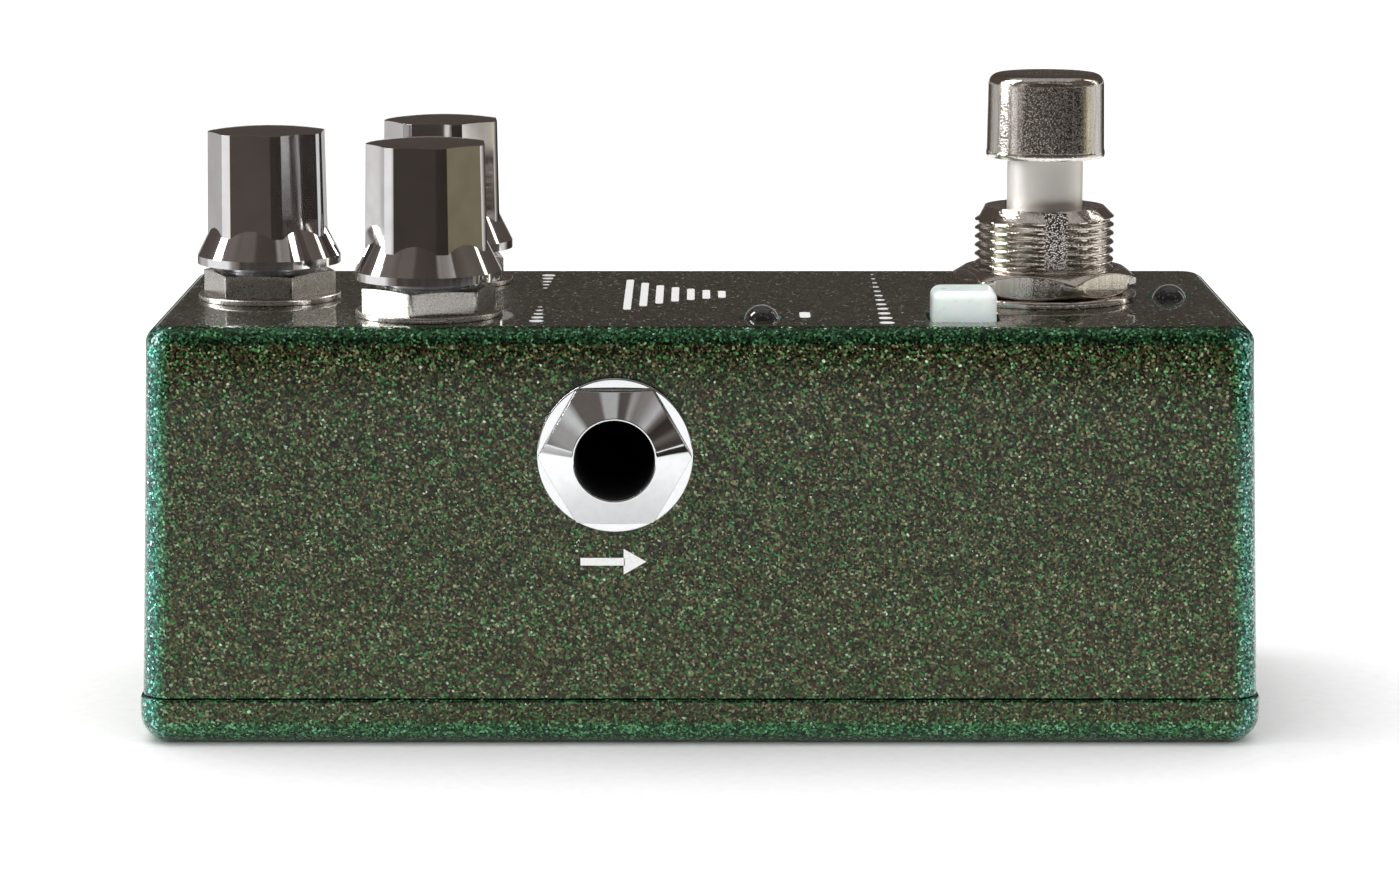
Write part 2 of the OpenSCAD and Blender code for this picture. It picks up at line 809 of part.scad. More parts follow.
// Knob: a faceted grip that runs out in arches on a flared skirt
module knob(at, land) {
    rim_z = knob_z + knob_rim_h;
    grip_z = rim_z + knob_flare_h;
    top_z = knob_z + knob_h;
    grip_r = knob_grip_d / 2;
    flat_r = grip_r * cos(facet_angle / 2);
    corner_reach = flat_r / cos(180 / knob_facets);
    flare_rise = knob_flare_h / (knob_skirt_d / 2 - grip_r);
    root_bite = 0.1;
    root_r = flat_r - root_bite;
    root_z = grip_z + (grip_r - root_r) * flare_rise;
    foot = [[0, rim_z], [grip_r, rim_z], [grip_r, grip_z]];
    edge_c = [knob_top_d / 2 - knob_edge_r, top_z - knob_edge_r];
    edge = [for (a = [0:15:90]) edge_c + knob_edge_r * [cos(a), sin(a)]];
    bore_r = shaft_d / 2 + run_fit;
    color("gainsboro")
        translate([at.x, at.y, 0])
            difference() {
                union() {
                    intersection() {
                        rotate_extrude()
                            polygon(concat(foot, edge, [[0, top_z]]));
                        rotate([0, 0, land])
                            cylinder(r = corner_reach, h = top_z + over, $fn = knob_facets);
                    }
                    rotate_extrude()
                        polygon([[0, knob_z], [knob_skirt_d / 2, knob_z], [knob_skirt_d / 2, rim_z],
                            [root_r, root_z], [0, root_z]]);
                }
                difference() {
                    translate([0, 0, knob_z - over])
                        cylinder(r = bore_r, h = shaft_grip + over);
                    translate([-shaft_d, shaft_d / 2 - shaft_flat + run_fit, knob_z - 2 * over])
                        cube([2 * shaft_d, shaft_d, knob_h + 2 * over]);
                }
            }
}

module mix_pot() { pot(mix_at); }

module repeats_pot() { pot(repeats_at); }

module time_pot() { pot(time_at); }

module mix_shaft() { pot_shaft(mix_at); }

module repeats_shaft() { pot_shaft(repeats_at); }

module time_shaft() { pot_shaft(time_at); }

module mix_knob() { knob(mix_at, mix_land); }

module repeats_knob() { knob(repeats_at, repeats_land); }

module time_knob() { knob(time_at, time_land); }

// Three pins on each potentiometer's side that faces the middle of the pedal
module pot_pins() {
    color("silver")
        for (at = pots_at, i = [-1:1])
            translate([at.x + i * pot_pin_pitch - pot_pin_w / 2,
                    at.y + (at.y > 0 ? -pot_d / 2 - pot_pin_t : pot_d / 2), control_top])
                cube([pot_pin_w, pot_pin_t, pot_pin_l]);
}

module pot_nuts() {
    color("silver")
        for (i = [0:2])
            translate([pots_at[i].x, pots_at[i].y, box_h + pot_washer_t])
                rotate([0, 0, pot_nut_turns[i]])
                    hex_nut(pot_nut_af, pot_bush_d + 2 * run_fit, pot_nut_t);
}

module pot_washers() {
    color("silver")
        for (at = pots_at)
            translate([at.x, at.y, box_h])
                ring(pot_washer_d, pot_bush_d + 2 * hole_fit, pot_washer_t);
}

// Metal frame of the footswitch with its keyed, threaded bush
module footswitch_body() {
    chamfer = 0.85;
    key_turn = 5.7;
    color("silver")
        translate([foot_x, 0, 0])
            difference() {
                union() {
                    translate([0, 0, block_top])
                        square_bar(switch_w, 1, switch_frame_h);
                    translate([0, 0, frame_top - over])
                        cylinder(d = bush_d, h = bush_top - chamfer - frame_top + over);
                    translate([0, 0, bush_top - chamfer])
                        cylinder(d1 = bush_d, d2 = bush_d - 2 * chamfer, h = chamfer);
                }
                translate([0, 0, block_top - over])
                    cylinder(d = stem_d + 2 * run_fit, h = bush_top);
                rotate([0, 0, key_turn - 90])
                    translate([bush_d / 2 - bush_key_depth, -bush_key_w / 2, frame_top])
                        cube([bush_d, bush_key_w, bush_top]);
            }
}

module footswitch_block() {
    color("saddlebrown")
        translate([foot_x, 0, 0])
            difference() {
                translate([0, 0, block_z])
                    square_bar(switch_w, 1, switch_block_h);
                translate([0, 0, spring_z])
                    cylinder(d = stem_d + 2 * move_fit, h = switch_block_h);
            }
}

module footswitch_lugs() {
    color("gold")
        for (x = lug_columns, y = lug_rows)
            translate([foot_x + x - lug_t / 2, y - lug_w / 2, switch_board_top])
                cube([lug_t, lug_w, lug_l]);
}

module footswitch_nut() {
    nut_turn = -15;
    color("silver")
        translate([foot_x, 0, foot_nut_z])
            rotate([0, 0, nut_turn])
                hex_nut(foot_nut_af, bush_d + 2 * run_fit, foot_nut_t);
}

module footswitch_washer() {
    color("silver")
        translate([foot_x, 0, box_h])
            ring(foot_washer_d, bush_d + 2 * hole_fit, foot_washer_t);
}

module footswitch_lock_washer() {
    color("silver")
        translate([foot_x, 0, frame_top])
            ring(lock_d, bush_d + 2 * hole_fit, lock_t);
}

// Return spring: one wire swept along a helix between the block and the shaft
module footswitch_spring() {
    per_turn = 12;
    sides = 6;
    low = spring_z + spring_wire / 2;
    rise = stem_z - spring_wire / 2 - low;
    count = spring_turns * per_turn;
    function spring_point(i, j) =
        let (turn = 360 * i / per_turn, round = 360 * j / sides, r = spring_r + spring_wire / 2 * cos(round))
            [r * cos(turn), r * sin(turn), low + rise * i / count + spring_wire / 2 * sin(round)];
    points = [for (i = [0:count], j = [0:sides - 1]) spring_point(i, j)];
    function at(i, j) = i * sides + j % sides;
    walls = [for (i = [0:count - 1], j = [0:sides - 1], half = [0, 1])
        half == 0 ? [at(i, j), at(i + 1, j), at(i + 1, j + 1)] : [at(i, j), at(i + 1, j + 1), at(i, j + 1)]];
    ends = [for (j = [1:sides - 2], last = [false, true])
        last ? [at(count, 0), at(count, j + 1), at(count, j)] : [at(0, 0), at(0, j), at(0, j + 1)]];
    color("silver")
        translate([foot_x, 0, 0])
            polyhedron(points, concat(walls, ends));
}

module footswitch_shaft() {
    color("silver")
        translate([foot_x, 0, stem_z])
            cylinder(d = stem_d, h = cap_z + stem_grip - stem_z);
}

module footswitch_cap() {
    low_r = cap_d / 2;
    top_z = cap_z + cap_h;
    edge_c = [low_r - cap_taper - cap_r, top_z - cap_r];
    edge = [for (a = [0:15:90]) edge_c + cap_r * [cos(a), sin(a)]];
    color("silver")
        translate([foot_x, 0, 0])
            difference() {
                rotate_extrude()
                    polygon(concat([[0, cap_z], [low_r, cap_z]], edge, [[0, top_z]]));
                translate([0, 0, cap_z - over])
                    cylinder(d = stem_d + 2 * run_fit, h = stem_grip + over);
            }
}

module mode_switch_body() {
    color("dimgray")
        translate([mode_at.x, mode_at.y, board_top])
            difference() {
                square_bar(mode_switch_w, 0.4, mode_switch_h);
                translate([-mode_stem_w / 2 - move_fit, -mode_stem_w / 2 - move_fit,
                        mode_stem_z - mode_travel - move_fit - board_top])
                    cube([mode_stem_w + 2 * move_fit, mode_stem_w + 2 * move_fit, mode_switch_h]);
            }
}

module mode_plunger() {
    color("white")
        translate([mode_at.x - mode_stem_w / 2, mode_at.y - mode_stem_w / 2, mode_stem_z])
            cube([mode_stem_w, mode_stem_w, mode_stem_top - mode_stem_z]);
}

// Square cap with rounded edges, held under the panel by its flange
module mode_button() {
    cap_corner_r = 0.9;
    cap_edge_r = 0.5;
    socket_w = mode_stem_w + 2 * run_fit;
    color("honeydew")
        translate([mode_at.x, mode_at.y, 0])
            difference() {
                union() {
                    hull() {
                        translate([0, 0, mode_button_z])
                            at_corners(mode_w / 2, mode_w / 2, cap_corner_r)
                                cylinder(r = cap_corner_r, h = eps, $fn = hull_fn);
                        translate([0, 0, box_h + mode_h - cap_edge_r])
                            at_corners(mode_w / 2, mode_w / 2, cap_corner_r)
                                corner_roll(cap_corner_r, cap_edge_r);
                    }
                    translate([0, 0, mode_flange_z])
                        square_bar(mode_flange_w, 1, mode_flange_t);
                }
                translate([-socket_w / 2, -socket_w / 2, mode_button_z - over])
                    cube([socket_w, socket_w, mode_stem_top - mode_button_z + over]);
            }
}

// Lamp with a rim under the panel and a dome above it
module led(at) {
    r = led_d / 2;
    rim_h = 1;
    dome_z = box_h + led_h - r;
    dome = [for (a = [0:15:90]) [r * cos(a), dome_z + r * sin(a)]];
    color("darkslategray")
        translate([at.x, at.y, 0])
            rotate_extrude()
                polygon(concat([[0, led_z], [led_rim_d / 2, led_z], [led_rim_d / 2, led_z + rim_h],
                    [r, led_z + rim_h]], dome));
}

module status_led() { led(status_led_at); }

module mode_led() { led(mode_led_at); }

module led_legs() {
    along = [[mode_led_at, [leg_pitch / 2, 0]], [status_led_at, [0, leg_pitch / 2]]];
    color("silver")
        for (lamp = along, side = [-1, 1])
            translate([lamp[0].x + side * lamp[1].x - leg_w / 2,
                    lamp[0].y + side * lamp[1].y - leg_w / 2, board_top])
                cube([leg_w, leg_w, led_z - board_top]);
}

enclosure();
bottom_lid();
lid_screws();
main_board();
control_board();
switch_board();
control_headers();
switch_headers();
chips();
capacitors();
out_jack_body();
out_jack_springs();
out_jack_nut();
out_jack_washer();
in_jack_body();
in_jack_springs();
in_jack_nut();
in_jack_washer();
dc_jack_body();
dc_jack_pin();
dc_jack_spring();
mix_pot();
repeats_pot();
time_pot();
pot_pins();
pot_nuts();
pot_washers();
mix_shaft();
repeats_shaft();
time_shaft();
mix_knob();
repeats_knob();
time_knob();
footswitch_body();
footswitch_block();
footswitch_lugs();
footswitch_nut();
footswitch_washer();
footswitch_lock_washer();
footswitch_spring();
footswitch_shaft();
footswitch_cap();
mode_switch_body();
mode_plunger();
mode_button();
status_led();
mode_led();
led_legs();
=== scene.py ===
# %% [markdown]
# # A small effects pedal, dressed round its CAD frame
# The pedal was drawn first as plain solids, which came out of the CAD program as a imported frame.
# This lesson puts the visible pieces round that frame: the same sizes, softer edges, real finishes.
# Nothing here is fitted by eye, because a piece asks the frame where its solid is.

# %% Load the frame
import json
import math

import bmesh
import bpy
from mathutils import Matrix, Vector


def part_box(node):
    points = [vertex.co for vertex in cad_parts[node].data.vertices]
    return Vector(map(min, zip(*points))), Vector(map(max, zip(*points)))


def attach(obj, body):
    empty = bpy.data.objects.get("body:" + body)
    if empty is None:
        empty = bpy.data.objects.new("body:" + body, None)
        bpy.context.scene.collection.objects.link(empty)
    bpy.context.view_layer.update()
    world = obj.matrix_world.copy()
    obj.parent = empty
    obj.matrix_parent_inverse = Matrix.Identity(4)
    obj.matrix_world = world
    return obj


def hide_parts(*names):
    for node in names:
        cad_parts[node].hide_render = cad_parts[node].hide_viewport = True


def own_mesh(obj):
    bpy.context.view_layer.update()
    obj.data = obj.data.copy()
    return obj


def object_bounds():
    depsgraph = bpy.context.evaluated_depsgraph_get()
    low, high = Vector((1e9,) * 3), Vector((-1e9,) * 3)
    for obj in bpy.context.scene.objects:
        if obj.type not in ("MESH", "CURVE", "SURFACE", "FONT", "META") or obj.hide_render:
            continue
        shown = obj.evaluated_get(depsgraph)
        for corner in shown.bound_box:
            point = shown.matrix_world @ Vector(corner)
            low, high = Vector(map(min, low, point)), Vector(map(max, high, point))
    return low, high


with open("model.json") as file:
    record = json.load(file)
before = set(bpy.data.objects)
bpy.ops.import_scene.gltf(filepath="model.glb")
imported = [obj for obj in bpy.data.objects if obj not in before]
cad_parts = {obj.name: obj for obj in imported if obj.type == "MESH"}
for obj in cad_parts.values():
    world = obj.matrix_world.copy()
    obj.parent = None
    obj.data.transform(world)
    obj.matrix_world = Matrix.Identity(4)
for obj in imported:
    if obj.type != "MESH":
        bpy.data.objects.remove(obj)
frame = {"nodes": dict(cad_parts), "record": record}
cad_low, cad_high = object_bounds()
MM = 0.001
cad_size = [round(side / MM, 1) for side in cad_high - cad_low]
print("frame of", len(frame["nodes"]), "solids,", cad_size, "mm")

# %% [markdown]
# ## Working in millimetres
# Blender's tools take small distances badly when one unit is a metre, and a drawing of a pedal is
# in millimetres anyway. So each piece is modelled with one unit to the millimetre, at its own place,
# and shrunk by a thousand about the origin when it is settled into the frame. The helpers below are
# what the hand does in edit mode: add a primitive, pick faces or edges by where they are, finish with
# a modifier. Picking by place keeps the lesson readable, because no face numbers are written down.


# %% Helpers for modelling
def box_mm(node):
    """Lowest and highest corner of a solid of the frame, in millimetres."""
    low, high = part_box(node)
    return low / MM, high / MM


def object_mode():
    if bpy.context.mode != "OBJECT":
        bpy.ops.object.mode_set(mode="OBJECT")


def only(piece):
    """Leaves one piece selected and active, in object mode."""
    object_mode()
    bpy.ops.object.select_all(action="DESELECT")
    piece.select_set(True)
    bpy.context.view_layer.objects.active = piece


def add(name, primitive, **settings):
    """Adds a primitive at its size and place, and opens it in edit mode with nothing selected."""
    object_mode()
    bpy.ops.object.select_all(action="DESELECT")
    primitive(**settings)
    piece = bpy.context.object
    piece.name = name
    bpy.ops.object.transform_apply(location=True, rotation=True, scale=True)
    bpy.ops.object.mode_set(mode="EDIT")
    bpy.ops.mesh.select_mode(type="EDGE")
    bpy.ops.mesh.select_all(action="DESELECT")
    return piece


def block(name, low, high):
    """A box between two corners, in edit mode."""
    low, high = Vector(low), Vector(high)
    cube = bpy.ops.mesh.primitive_cube_add
    return add(name, cube, size=1, location=(low + high) / 2, scale=high - low)


def pick(piece, kind, test):
    """Selects the faces or edges for which test(middle, normal or direction) is true."""
    bpy.ops.mesh.select_mode(type=kind)
    bpy.ops.mesh.select_all(action="DESELECT")
    mesh = bmesh.from_edit_mesh(piece.data)
    if kind == "FACE":
        for face in mesh.faces:
            face.select_set(test(face.calc_center_median(), face.normal))
    else:
        for edge in mesh.edges:
            start, end = edge.verts[0].co, edge.verts[1].co
            edge.select_set(test((start + end) / 2, (end - start).normalized()))
    mesh.select_flush_mode()
    bmesh.update_edit_mesh(piece.data)


def finish_with(piece, kind, **settings):
    """Adds one modifier, sets it and applies it."""
    only(piece)
    modifier = piece.modifiers.new(kind.lower(), kind)
    for key, value in settings.items():
        setattr(modifier, key, value)
    bpy.ops.object.modifier_apply(modifier=modifier.name)


def join_or_cut(piece, tool, operation):
    """A Boolean with another piece, which is used up."""
    object_mode()
    finish_with(piece, "BOOLEAN", object=tool, operation=operation, solver="EXACT")
    bpy.data.objects.remove(tool)


def soften(piece, width, segments=2, angle=35):
    """Rounds every edge sharper than an angle."""
    limit = {"limit_method": "ANGLE", "angle_limit": math.radians(angle)}
    finish_with(piece, "BEVEL", width=width, segments=segments, **limit)


def place(piece, at=(0, 0, 0), turn=(0, 0, 0)):
    """Moves and turns a piece that was modelled at the origin, in millimetres and degrees."""
    only(piece)
    piece.location = at
    piece.rotation_euler = [math.radians(angle) for angle in turn]
    bpy.ops.object.transform_apply(location=True, rotation=True, scale=True)


def copy_of(piece, name):
    """A copy of a piece with a mesh of its own."""
    object_mode()
    twin = piece.copy()
    twin.data = piece.data.copy()
    twin.name = name
    bpy.context.scene.collection.objects.link(twin)
    return twin


pieces = {}


def settle(piece, body, slot, *nodes, smooth=30):
    """Shrinks a piece to metres, shades it, and ties it to its body, its finish and its solids."""
    only(piece)
    piece.scale = (MM, MM, MM)
    bpy.ops.object.transform_apply(location=True, rotation=True, scale=True)
    bpy.ops.object.shade_smooth_by_angle(angle=math.radians(smooth))
    finish_with(piece, "WEIGHTED_NORMAL", keep_sharp=True, weight=100)
    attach(piece, body)
    if nodes:
        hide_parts(*nodes)
    pieces[piece.name] = slot
    size = [round(side / MM, 2) for side in piece.dimensions]
    print(piece.name, "on", body, size, "mm,", len(piece.data.polygons), "faces")


# %% [markdown]
# ## Turned pieces
# Most of what stands on a pedal came off a lathe: washers, bushes, shafts, caps, the blanks of nuts.
# The same thing by hand is a circle that is extruded and resized again and again up its profile.
# A list of (radius, height) pairs is that profile. A piece with a hole through it has a profile that
# goes round and comes back, and a bridge closes it. A solid one has its two end holes filled.


# %% A lathe
def arc(centre, radius, start, end, steps):
    """Points of a round between two straight runs of a profile, angles in degrees."""
    angles = [math.radians(start + (end - start) * i / steps) for i in range(steps + 1)]
    return [(centre[0] + radius * math.cos(a), centre[1] + radius * math.sin(a)) for a in angles]


def turned(name, profile, segments=96, bored=False):
    """Turns a profile round the Z axis."""
    radius, height = profile[0]
    circle = bpy.ops.mesh.primitive_circle_add
    piece = add(name, circle, vertices=segments, radius=radius, location=(0, 0, height))
    bpy.ops.mesh.select_all(action="SELECT")
    for (r0, z0), (r1, z1) in zip(profile, profile[1:]):
        bpy.ops.mesh.extrude_region_move(TRANSFORM_OT_translate={"value": (0, 0, z1 - z0)})
        bpy.ops.transform.resize(value=(r1 / r0, r1 / r0, 1), center_override=(0, 0, z1))
    bpy.ops.mesh.select_mode(type="EDGE")
    bpy.ops.mesh.select_all(action="DESELECT")
    bpy.ops.mesh.select_non_manifold()
    if bored:
        bpy.ops.mesh.bridge_edge_loops()
    else:
        bpy.ops.mesh.fill_holes(sides=0)
    bpy.ops.mesh.select_all(action="SELECT")
    bpy.ops.mesh.normals_make_consistent(inside=False)
    object_mode()
    return piece


def press(piece, rule):
    """Moves every point of a turned piece: rule takes its angle, radius and height."""
    for point in piece.data.vertices:
        angle = math.atan2(point.co.y, point.co.x)
        radius, height = rule(angle, math.hypot(point.co.x, point.co.y), point.co.z)
        point.co = (radius * math.cos(angle), radius * math.sin(angle), height)
    piece.data.update()


# %% [markdown]
# ## The die-cast shell
# The box is cast in zinc or aluminium, so its walls lean in a little to let it out of the mould, and
# every outside edge is round. A cube gets that lean by resizing its top face, then its upright edges
# and its top edge are bevelled. The hollow is a second leaning box taken away, as the mould's core
# does it, because a wall made by thickening would fold over itself in the tight top corners.

# %% Shell outside and hollow
shell_low, shell_high = box_mm("enclosure")
WALL = 2.0
END_LEAN = math.tan(math.radians(1.6))
SIDE_LEAN = math.tan(math.radians(0.5))
CORNER_ROUND = 2.4
TOP_ROUND = 1.5
SEAM_ROUND = 0.22
CORE_ROUND = 0.6


def leaning_box(name, low, high):
    """A box whose four walls lean in as the casting's do, in edit mode."""
    piece = block(name, low, high)
    tall = high.z - low.z
    pick(piece, "FACE", lambda middle, normal: normal.z > 0.9)
    shrink = (1 - tall * END_LEAN / high.x, 1 - tall * SIDE_LEAN / high.y, 1)
    bpy.ops.transform.resize(value=shrink, center_override=(0, 0, high.z))
    return piece


def round_uprights(piece, radius, segments):
    pick(piece, "EDGE", lambda middle, direction: abs(direction.z) > 0.9)
    bpy.ops.mesh.bevel(offset=radius, segments=segments, affect="EDGES")


def round_level(piece, height, radius, segments):
    """Rounds the edges that lie at one height."""

    def lies_there(middle, direction):
        return abs(middle.z - height) < 0.01 and abs(direction.z) < 0.01

    pick(piece, "EDGE", lies_there)
    bpy.ops.mesh.bevel(offset=radius, segments=segments, affect="EDGES")


shell = leaning_box("shell", shell_low, shell_high)
round_uprights(shell, CORNER_ROUND, 10)
round_level(shell, shell_high.z, TOP_ROUND, 8)
round_level(shell, shell_low.z, SEAM_ROUND, 3)
core_low = shell_low + Vector((WALL, WALL, -1))
core_high = shell_high - Vector((WALL, WALL, WALL))
core = leaning_box("core", core_low, core_high)
round_uprights(core, CORE_ROUND, 4)
join_or_cut(shell, core, "DIFFERENCE")
print("shell", len(shell.data.polygons), "faces")

# %% [markdown]
# The lid's screws bite into round posts in the shell's corners. A post is a turned piece with a blind
# hole, joined to the shell by a Boolean. The holes for everything that comes through the walls are
# cut the same way: turned cutters for the round ones, a bevelled block for the square button.
# The two lamp holes are opened a little at the top, as a countersink leaves them.

# %% Screw posts and holes
POST_X, POST_Y = 42.35, 14.75
POST_R, POST_H = 3.0, 30
POST_BORE, POST_BORE_H = 1.5, 9
POT_HOLE, SWITCH_HOLE, JACK_HOLE = 3.65, 6.15, 4.35
LAMP_HOLE, LAMP_SINK = 1.55, 2.05
BUTTON_HOLE = 3.0
# How far a cutter reaches below and above the top of the panel.
CUT_BELOW, CUT_ABOVE = 3, 1
knob_names = ("mix", "repeats", "time")


def centre_of(node):
    low, high = box_mm(node)
    return (low + high) / 2


corners = [(sx * POST_X, sy * POST_Y) for sx in (-1, 1) for sy in (-1, 1)]
seam = shell_low.z
post_profile = [(POST_BORE, seam + POST_BORE_H), (POST_BORE, seam)]
post_profile += [(POST_R, seam), (POST_R, seam + POST_H)]
for x, y in corners:
    post = turned("post", post_profile, 32)
    place(post, (x, y, 0))
    join_or_cut(shell, post, "UNION")


def round_hole(piece, at, profile, turn=(0, 0, 0)):
    cutter = turned("cutter", profile, 64)
    place(cutter, at, turn)
    join_or_cut(piece, cutter, "DIFFERENCE")


def square_block(name, spot, half, low, high):
    """An upright square block between two heights, in edit mode."""
    return block(name, (spot.x - half, spot.y - half, low), (spot.x + half, spot.y + half, high))


panel = shell_high.z
for name in knob_names:
    spot = centre_of(name + "_knob")
    round_hole(shell, (spot.x, spot.y, panel), [(POT_HOLE, -CUT_BELOW), (POT_HOLE, CUT_ABOVE)])
switch_spot = centre_of("footswitch_cap")
switch_cut = [(SWITCH_HOLE, -CUT_BELOW), (SWITCH_HOLE, CUT_ABOVE)]
round_hole(shell, (switch_spot.x, switch_spot.y, panel), switch_cut)
lamp_nodes = ("mode_led", "status_led")
lamp_cut = [(LAMP_HOLE, -CUT_BELOW), (LAMP_HOLE, -0.4), (LAMP_SINK, 0.1), (LAMP_SINK, CUT_ABOVE)]
for name in lamp_nodes:
    spot = centre_of(name)
    round_hole(shell, (spot.x, spot.y, panel), lamp_cut)
jack_sides = {"out_jack": 0, "in_jack": 180}
for name, turn in jack_sides.items():
    spot = centre_of(name + "_washer")
    round_hole(shell, (spot.x, 0, spot.z), [(JACK_HOLE, 15), (JACK_HOLE, 22)], (90, 0, turn))
inlet = centre_of("dc_jack_pin")
round_hole(shell, (0, 0, inlet.z), [(JACK_HOLE, 42), (JACK_HOLE, 48)], (0, -90, 0))
button_spot = centre_of("mode_button")
button_cutter = square_block("cutter", button_spot, BUTTON_HOLE, panel - CUT_BELOW, panel + CUT_ABOVE)
round_uprights(button_cutter, 1.0, 6)
join_or_cut(shell, button_cutter, "DIFFERENCE")
settle(shell, "chassis", "sparkle_paint", "enclosure")

# %% [markdown]
# ## The bottom lid and its screws
# The lid is a shallow casting with a big round along its lower edge. It stands a hair proud of the
# shell, and where the two meet both edges are broken, so that a fine dark line runs round the box.
# A pocket and two ribs inside keep it in place. Each screw is turned with a countersunk head, and a
# small tapered cross is cut into it for the driver.

# %% Lid
lid_low, lid_high = box_mm("bottom_lid")
LID_ROUND = 2.4
RIB_X, RIB_Y, RIB_T = 38.35, 15.65, 1.2
LID_FLOOR = 2.2
SINK, SINK_R, SCREW_HOLE = 0.15, 2.75, 1.6
lid = block("lid", lid_low, (lid_high.x, lid_high.y, seam))
round_uprights(lid, CORNER_ROUND + 0.25, 10)
round_level(lid, lid_low.z, LID_ROUND, 8)
round_level(lid, seam, SEAM_ROUND, 3)
for side in (-1, 1):
    edge = sorted((side * RIB_Y, side * (RIB_Y + RIB_T)))
    rib = block("rib", (-RIB_X, edge[0], seam - 1), (RIB_X, edge[1], lid_high.z))
    join_or_cut(lid, rib, "UNION")
pocket = block("pocket", (-RIB_X, -RIB_Y, LID_FLOOR), (RIB_X, RIB_Y, seam + 1))
join_or_cut(lid, pocket, "DIFFERENCE")
screw_cut = [(SINK_R, -0.5), (SINK_R, SINK), (SCREW_HOLE, SINK + SINK_R - SCREW_HOLE), (SCREW_HOLE, 6)]
for x, y in corners:
    round_hole(lid, (x, y, 0), screw_cut)
settle(lid, "chassis", "sparkle_paint", "bottom_lid")

# %% Screws
screw_tip = box_mm("lid_screws")[1].z
HEAD_R, SHANK_R, TIP_R = 2.7, 1.45, 0.6
CROSS_HALF, CROSS_SLOT, CROSS_DEEP = 1.45, 0.32, 1.0
screw_profile = [(HEAD_R - 0.2, SINK), (HEAD_R, SINK + 0.08), (SHANK_R, SINK + HEAD_R - SHANK_R)]
screw_profile += [(SHANK_R, screw_tip - 1), (TIP_R, screw_tip)]
screw = turned("lid_screw", screw_profile, 48)
cross_top = SINK + CROSS_DEEP
for turn in (0, 90):
    arm = block("arm", (-CROSS_HALF, -CROSS_SLOT, -0.5), (CROSS_HALF, CROSS_SLOT, cross_top))
    pick(arm, "FACE", lambda middle, normal: normal.z > 0.9)
    bpy.ops.transform.resize(value=(0.35, 0.6, 1), center_override=(0, 0, cross_top))
    place(arm, turn=(0, 0, turn))
    join_or_cut(screw, arm, "DIFFERENCE")
for index, (x, y) in enumerate(corners):
    one = copy_of(screw, f"lid_screw_{index + 1}")
    place(one, (x, y, 0), (0, 0, 25 + 40 * index))
    settle(one, "chassis", "zinc_steel", "lid_screws")
bpy.data.objects.remove(screw)

# %% [markdown]
# ## Knobs
# Each knob is a chrome-plated moulding: a grip with seven flats, a flared skirt that the flats run out
# on in arches, and a thin upright rim. The arches are where a flat plane meets a cone, so the shape is
# built as the mould was: a turned grip is cut by a prism of seven sides, the turned skirt is joined
# on, and the Booleans find the arches. Plating never leaves a knife edge, so a very narrow bevel runs
# along every crease. On a mirror finish those creases and the slivers between the flats are what
# the eye reads, and large flat faces keep the reflections calm.

# %% Grip, flats and skirt
knob_low, knob_high = box_mm("mix_knob")
KNOB_H = knob_high.z - knob_low.z
SKIRT_R, GRIP_R, TOP_R = 6.15, 5.25, 5.1
RIM_H, FLARE_H, TOP_DOME = 0.7, 1.8, 0.4
FLATS, FLAT_HALF = 7, 20.4
SHAFT_R, SHAFT_DEEP = 3.05, 8.5
HOLLOW_R, HOLLOW_H = 5.2, 0.6
EDGE_ROUND, CREASE_ROUND = 0.16, 0.05
grip_start = RIM_H + FLARE_H
top_edge = KNOB_H - TOP_DOME
dome_steps = (0.85, 0.7, 0.55, 0.4, 0.25, 0.1)
dome_rise = [(TOP_R * reach, KNOB_H - TOP_DOME * reach**2) for reach in dome_steps]
grip_profile = [(GRIP_R, 0.3), (GRIP_R, grip_start), (TOP_R, top_edge)] + dome_rise
knob = turned("knob", grip_profile, 168)
inner = math.cos(math.radians(FLAT_HALF)) / math.cos(math.pi / FLATS)
taper = (TOP_R - GRIP_R) / (top_edge - grip_start)
prism_low, prism_high = grip_start - 3, KNOB_H + 1
prism = add(
    "prism",
    bpy.ops.mesh.primitive_cone_add,
    vertices=FLATS,
    radius1=(GRIP_R + (prism_low - grip_start) * taper) * inner,
    radius2=(GRIP_R + (prism_high - grip_start) * taper) * inner,
    depth=prism_high - prism_low,
    location=(0, 0, (prism_low + prism_high) / 2),
    rotation=(0, 0, math.radians(-90)),
)
join_or_cut(knob, prism, "INTERSECT")
soften(knob, EDGE_ROUND, 7, 50)
flare_slope = (SKIRT_R - GRIP_R) / FLARE_H
root_r = GRIP_R * math.cos(math.radians(FLAT_HALF)) - 0.15
skirt_profile = [(SKIRT_R, 0), (SKIRT_R, RIM_H), (root_r, RIM_H + (SKIRT_R - root_r) / flare_slope)]
skirt = turned("skirt", skirt_profile, 168)
join_or_cut(knob, skirt, "UNION")
soften(knob, CREASE_ROUND, 2, 13)
print("knob outside", len(knob.data.polygons), "faces")

# %% Bore, and three knobs
bore_profile = [(SHAFT_R, SHAFT_DEEP), (SHAFT_R, HOLLOW_H), (HOLLOW_R, HOLLOW_H), (HOLLOW_R + 0.1, -1)]
knob_bore = turned("cutter", bore_profile, 96)
join_or_cut(knob, knob_bore, "DIFFERENCE")
knob_turns = {"mix": -76.7, "repeats": -73.0, "time": -72.0}
for name in knob_names:
    grip = copy_of(knob, name + "_grip")
    spot = centre_of(name + "_knob")
    place(grip, (spot.x, spot.y, knob_low.z), (0, 0, knob_turns[name]))
    settle(grip, name + "_control", "knob_chrome", name + "_knob", smooth=5)
bpy.data.objects.remove(knob)

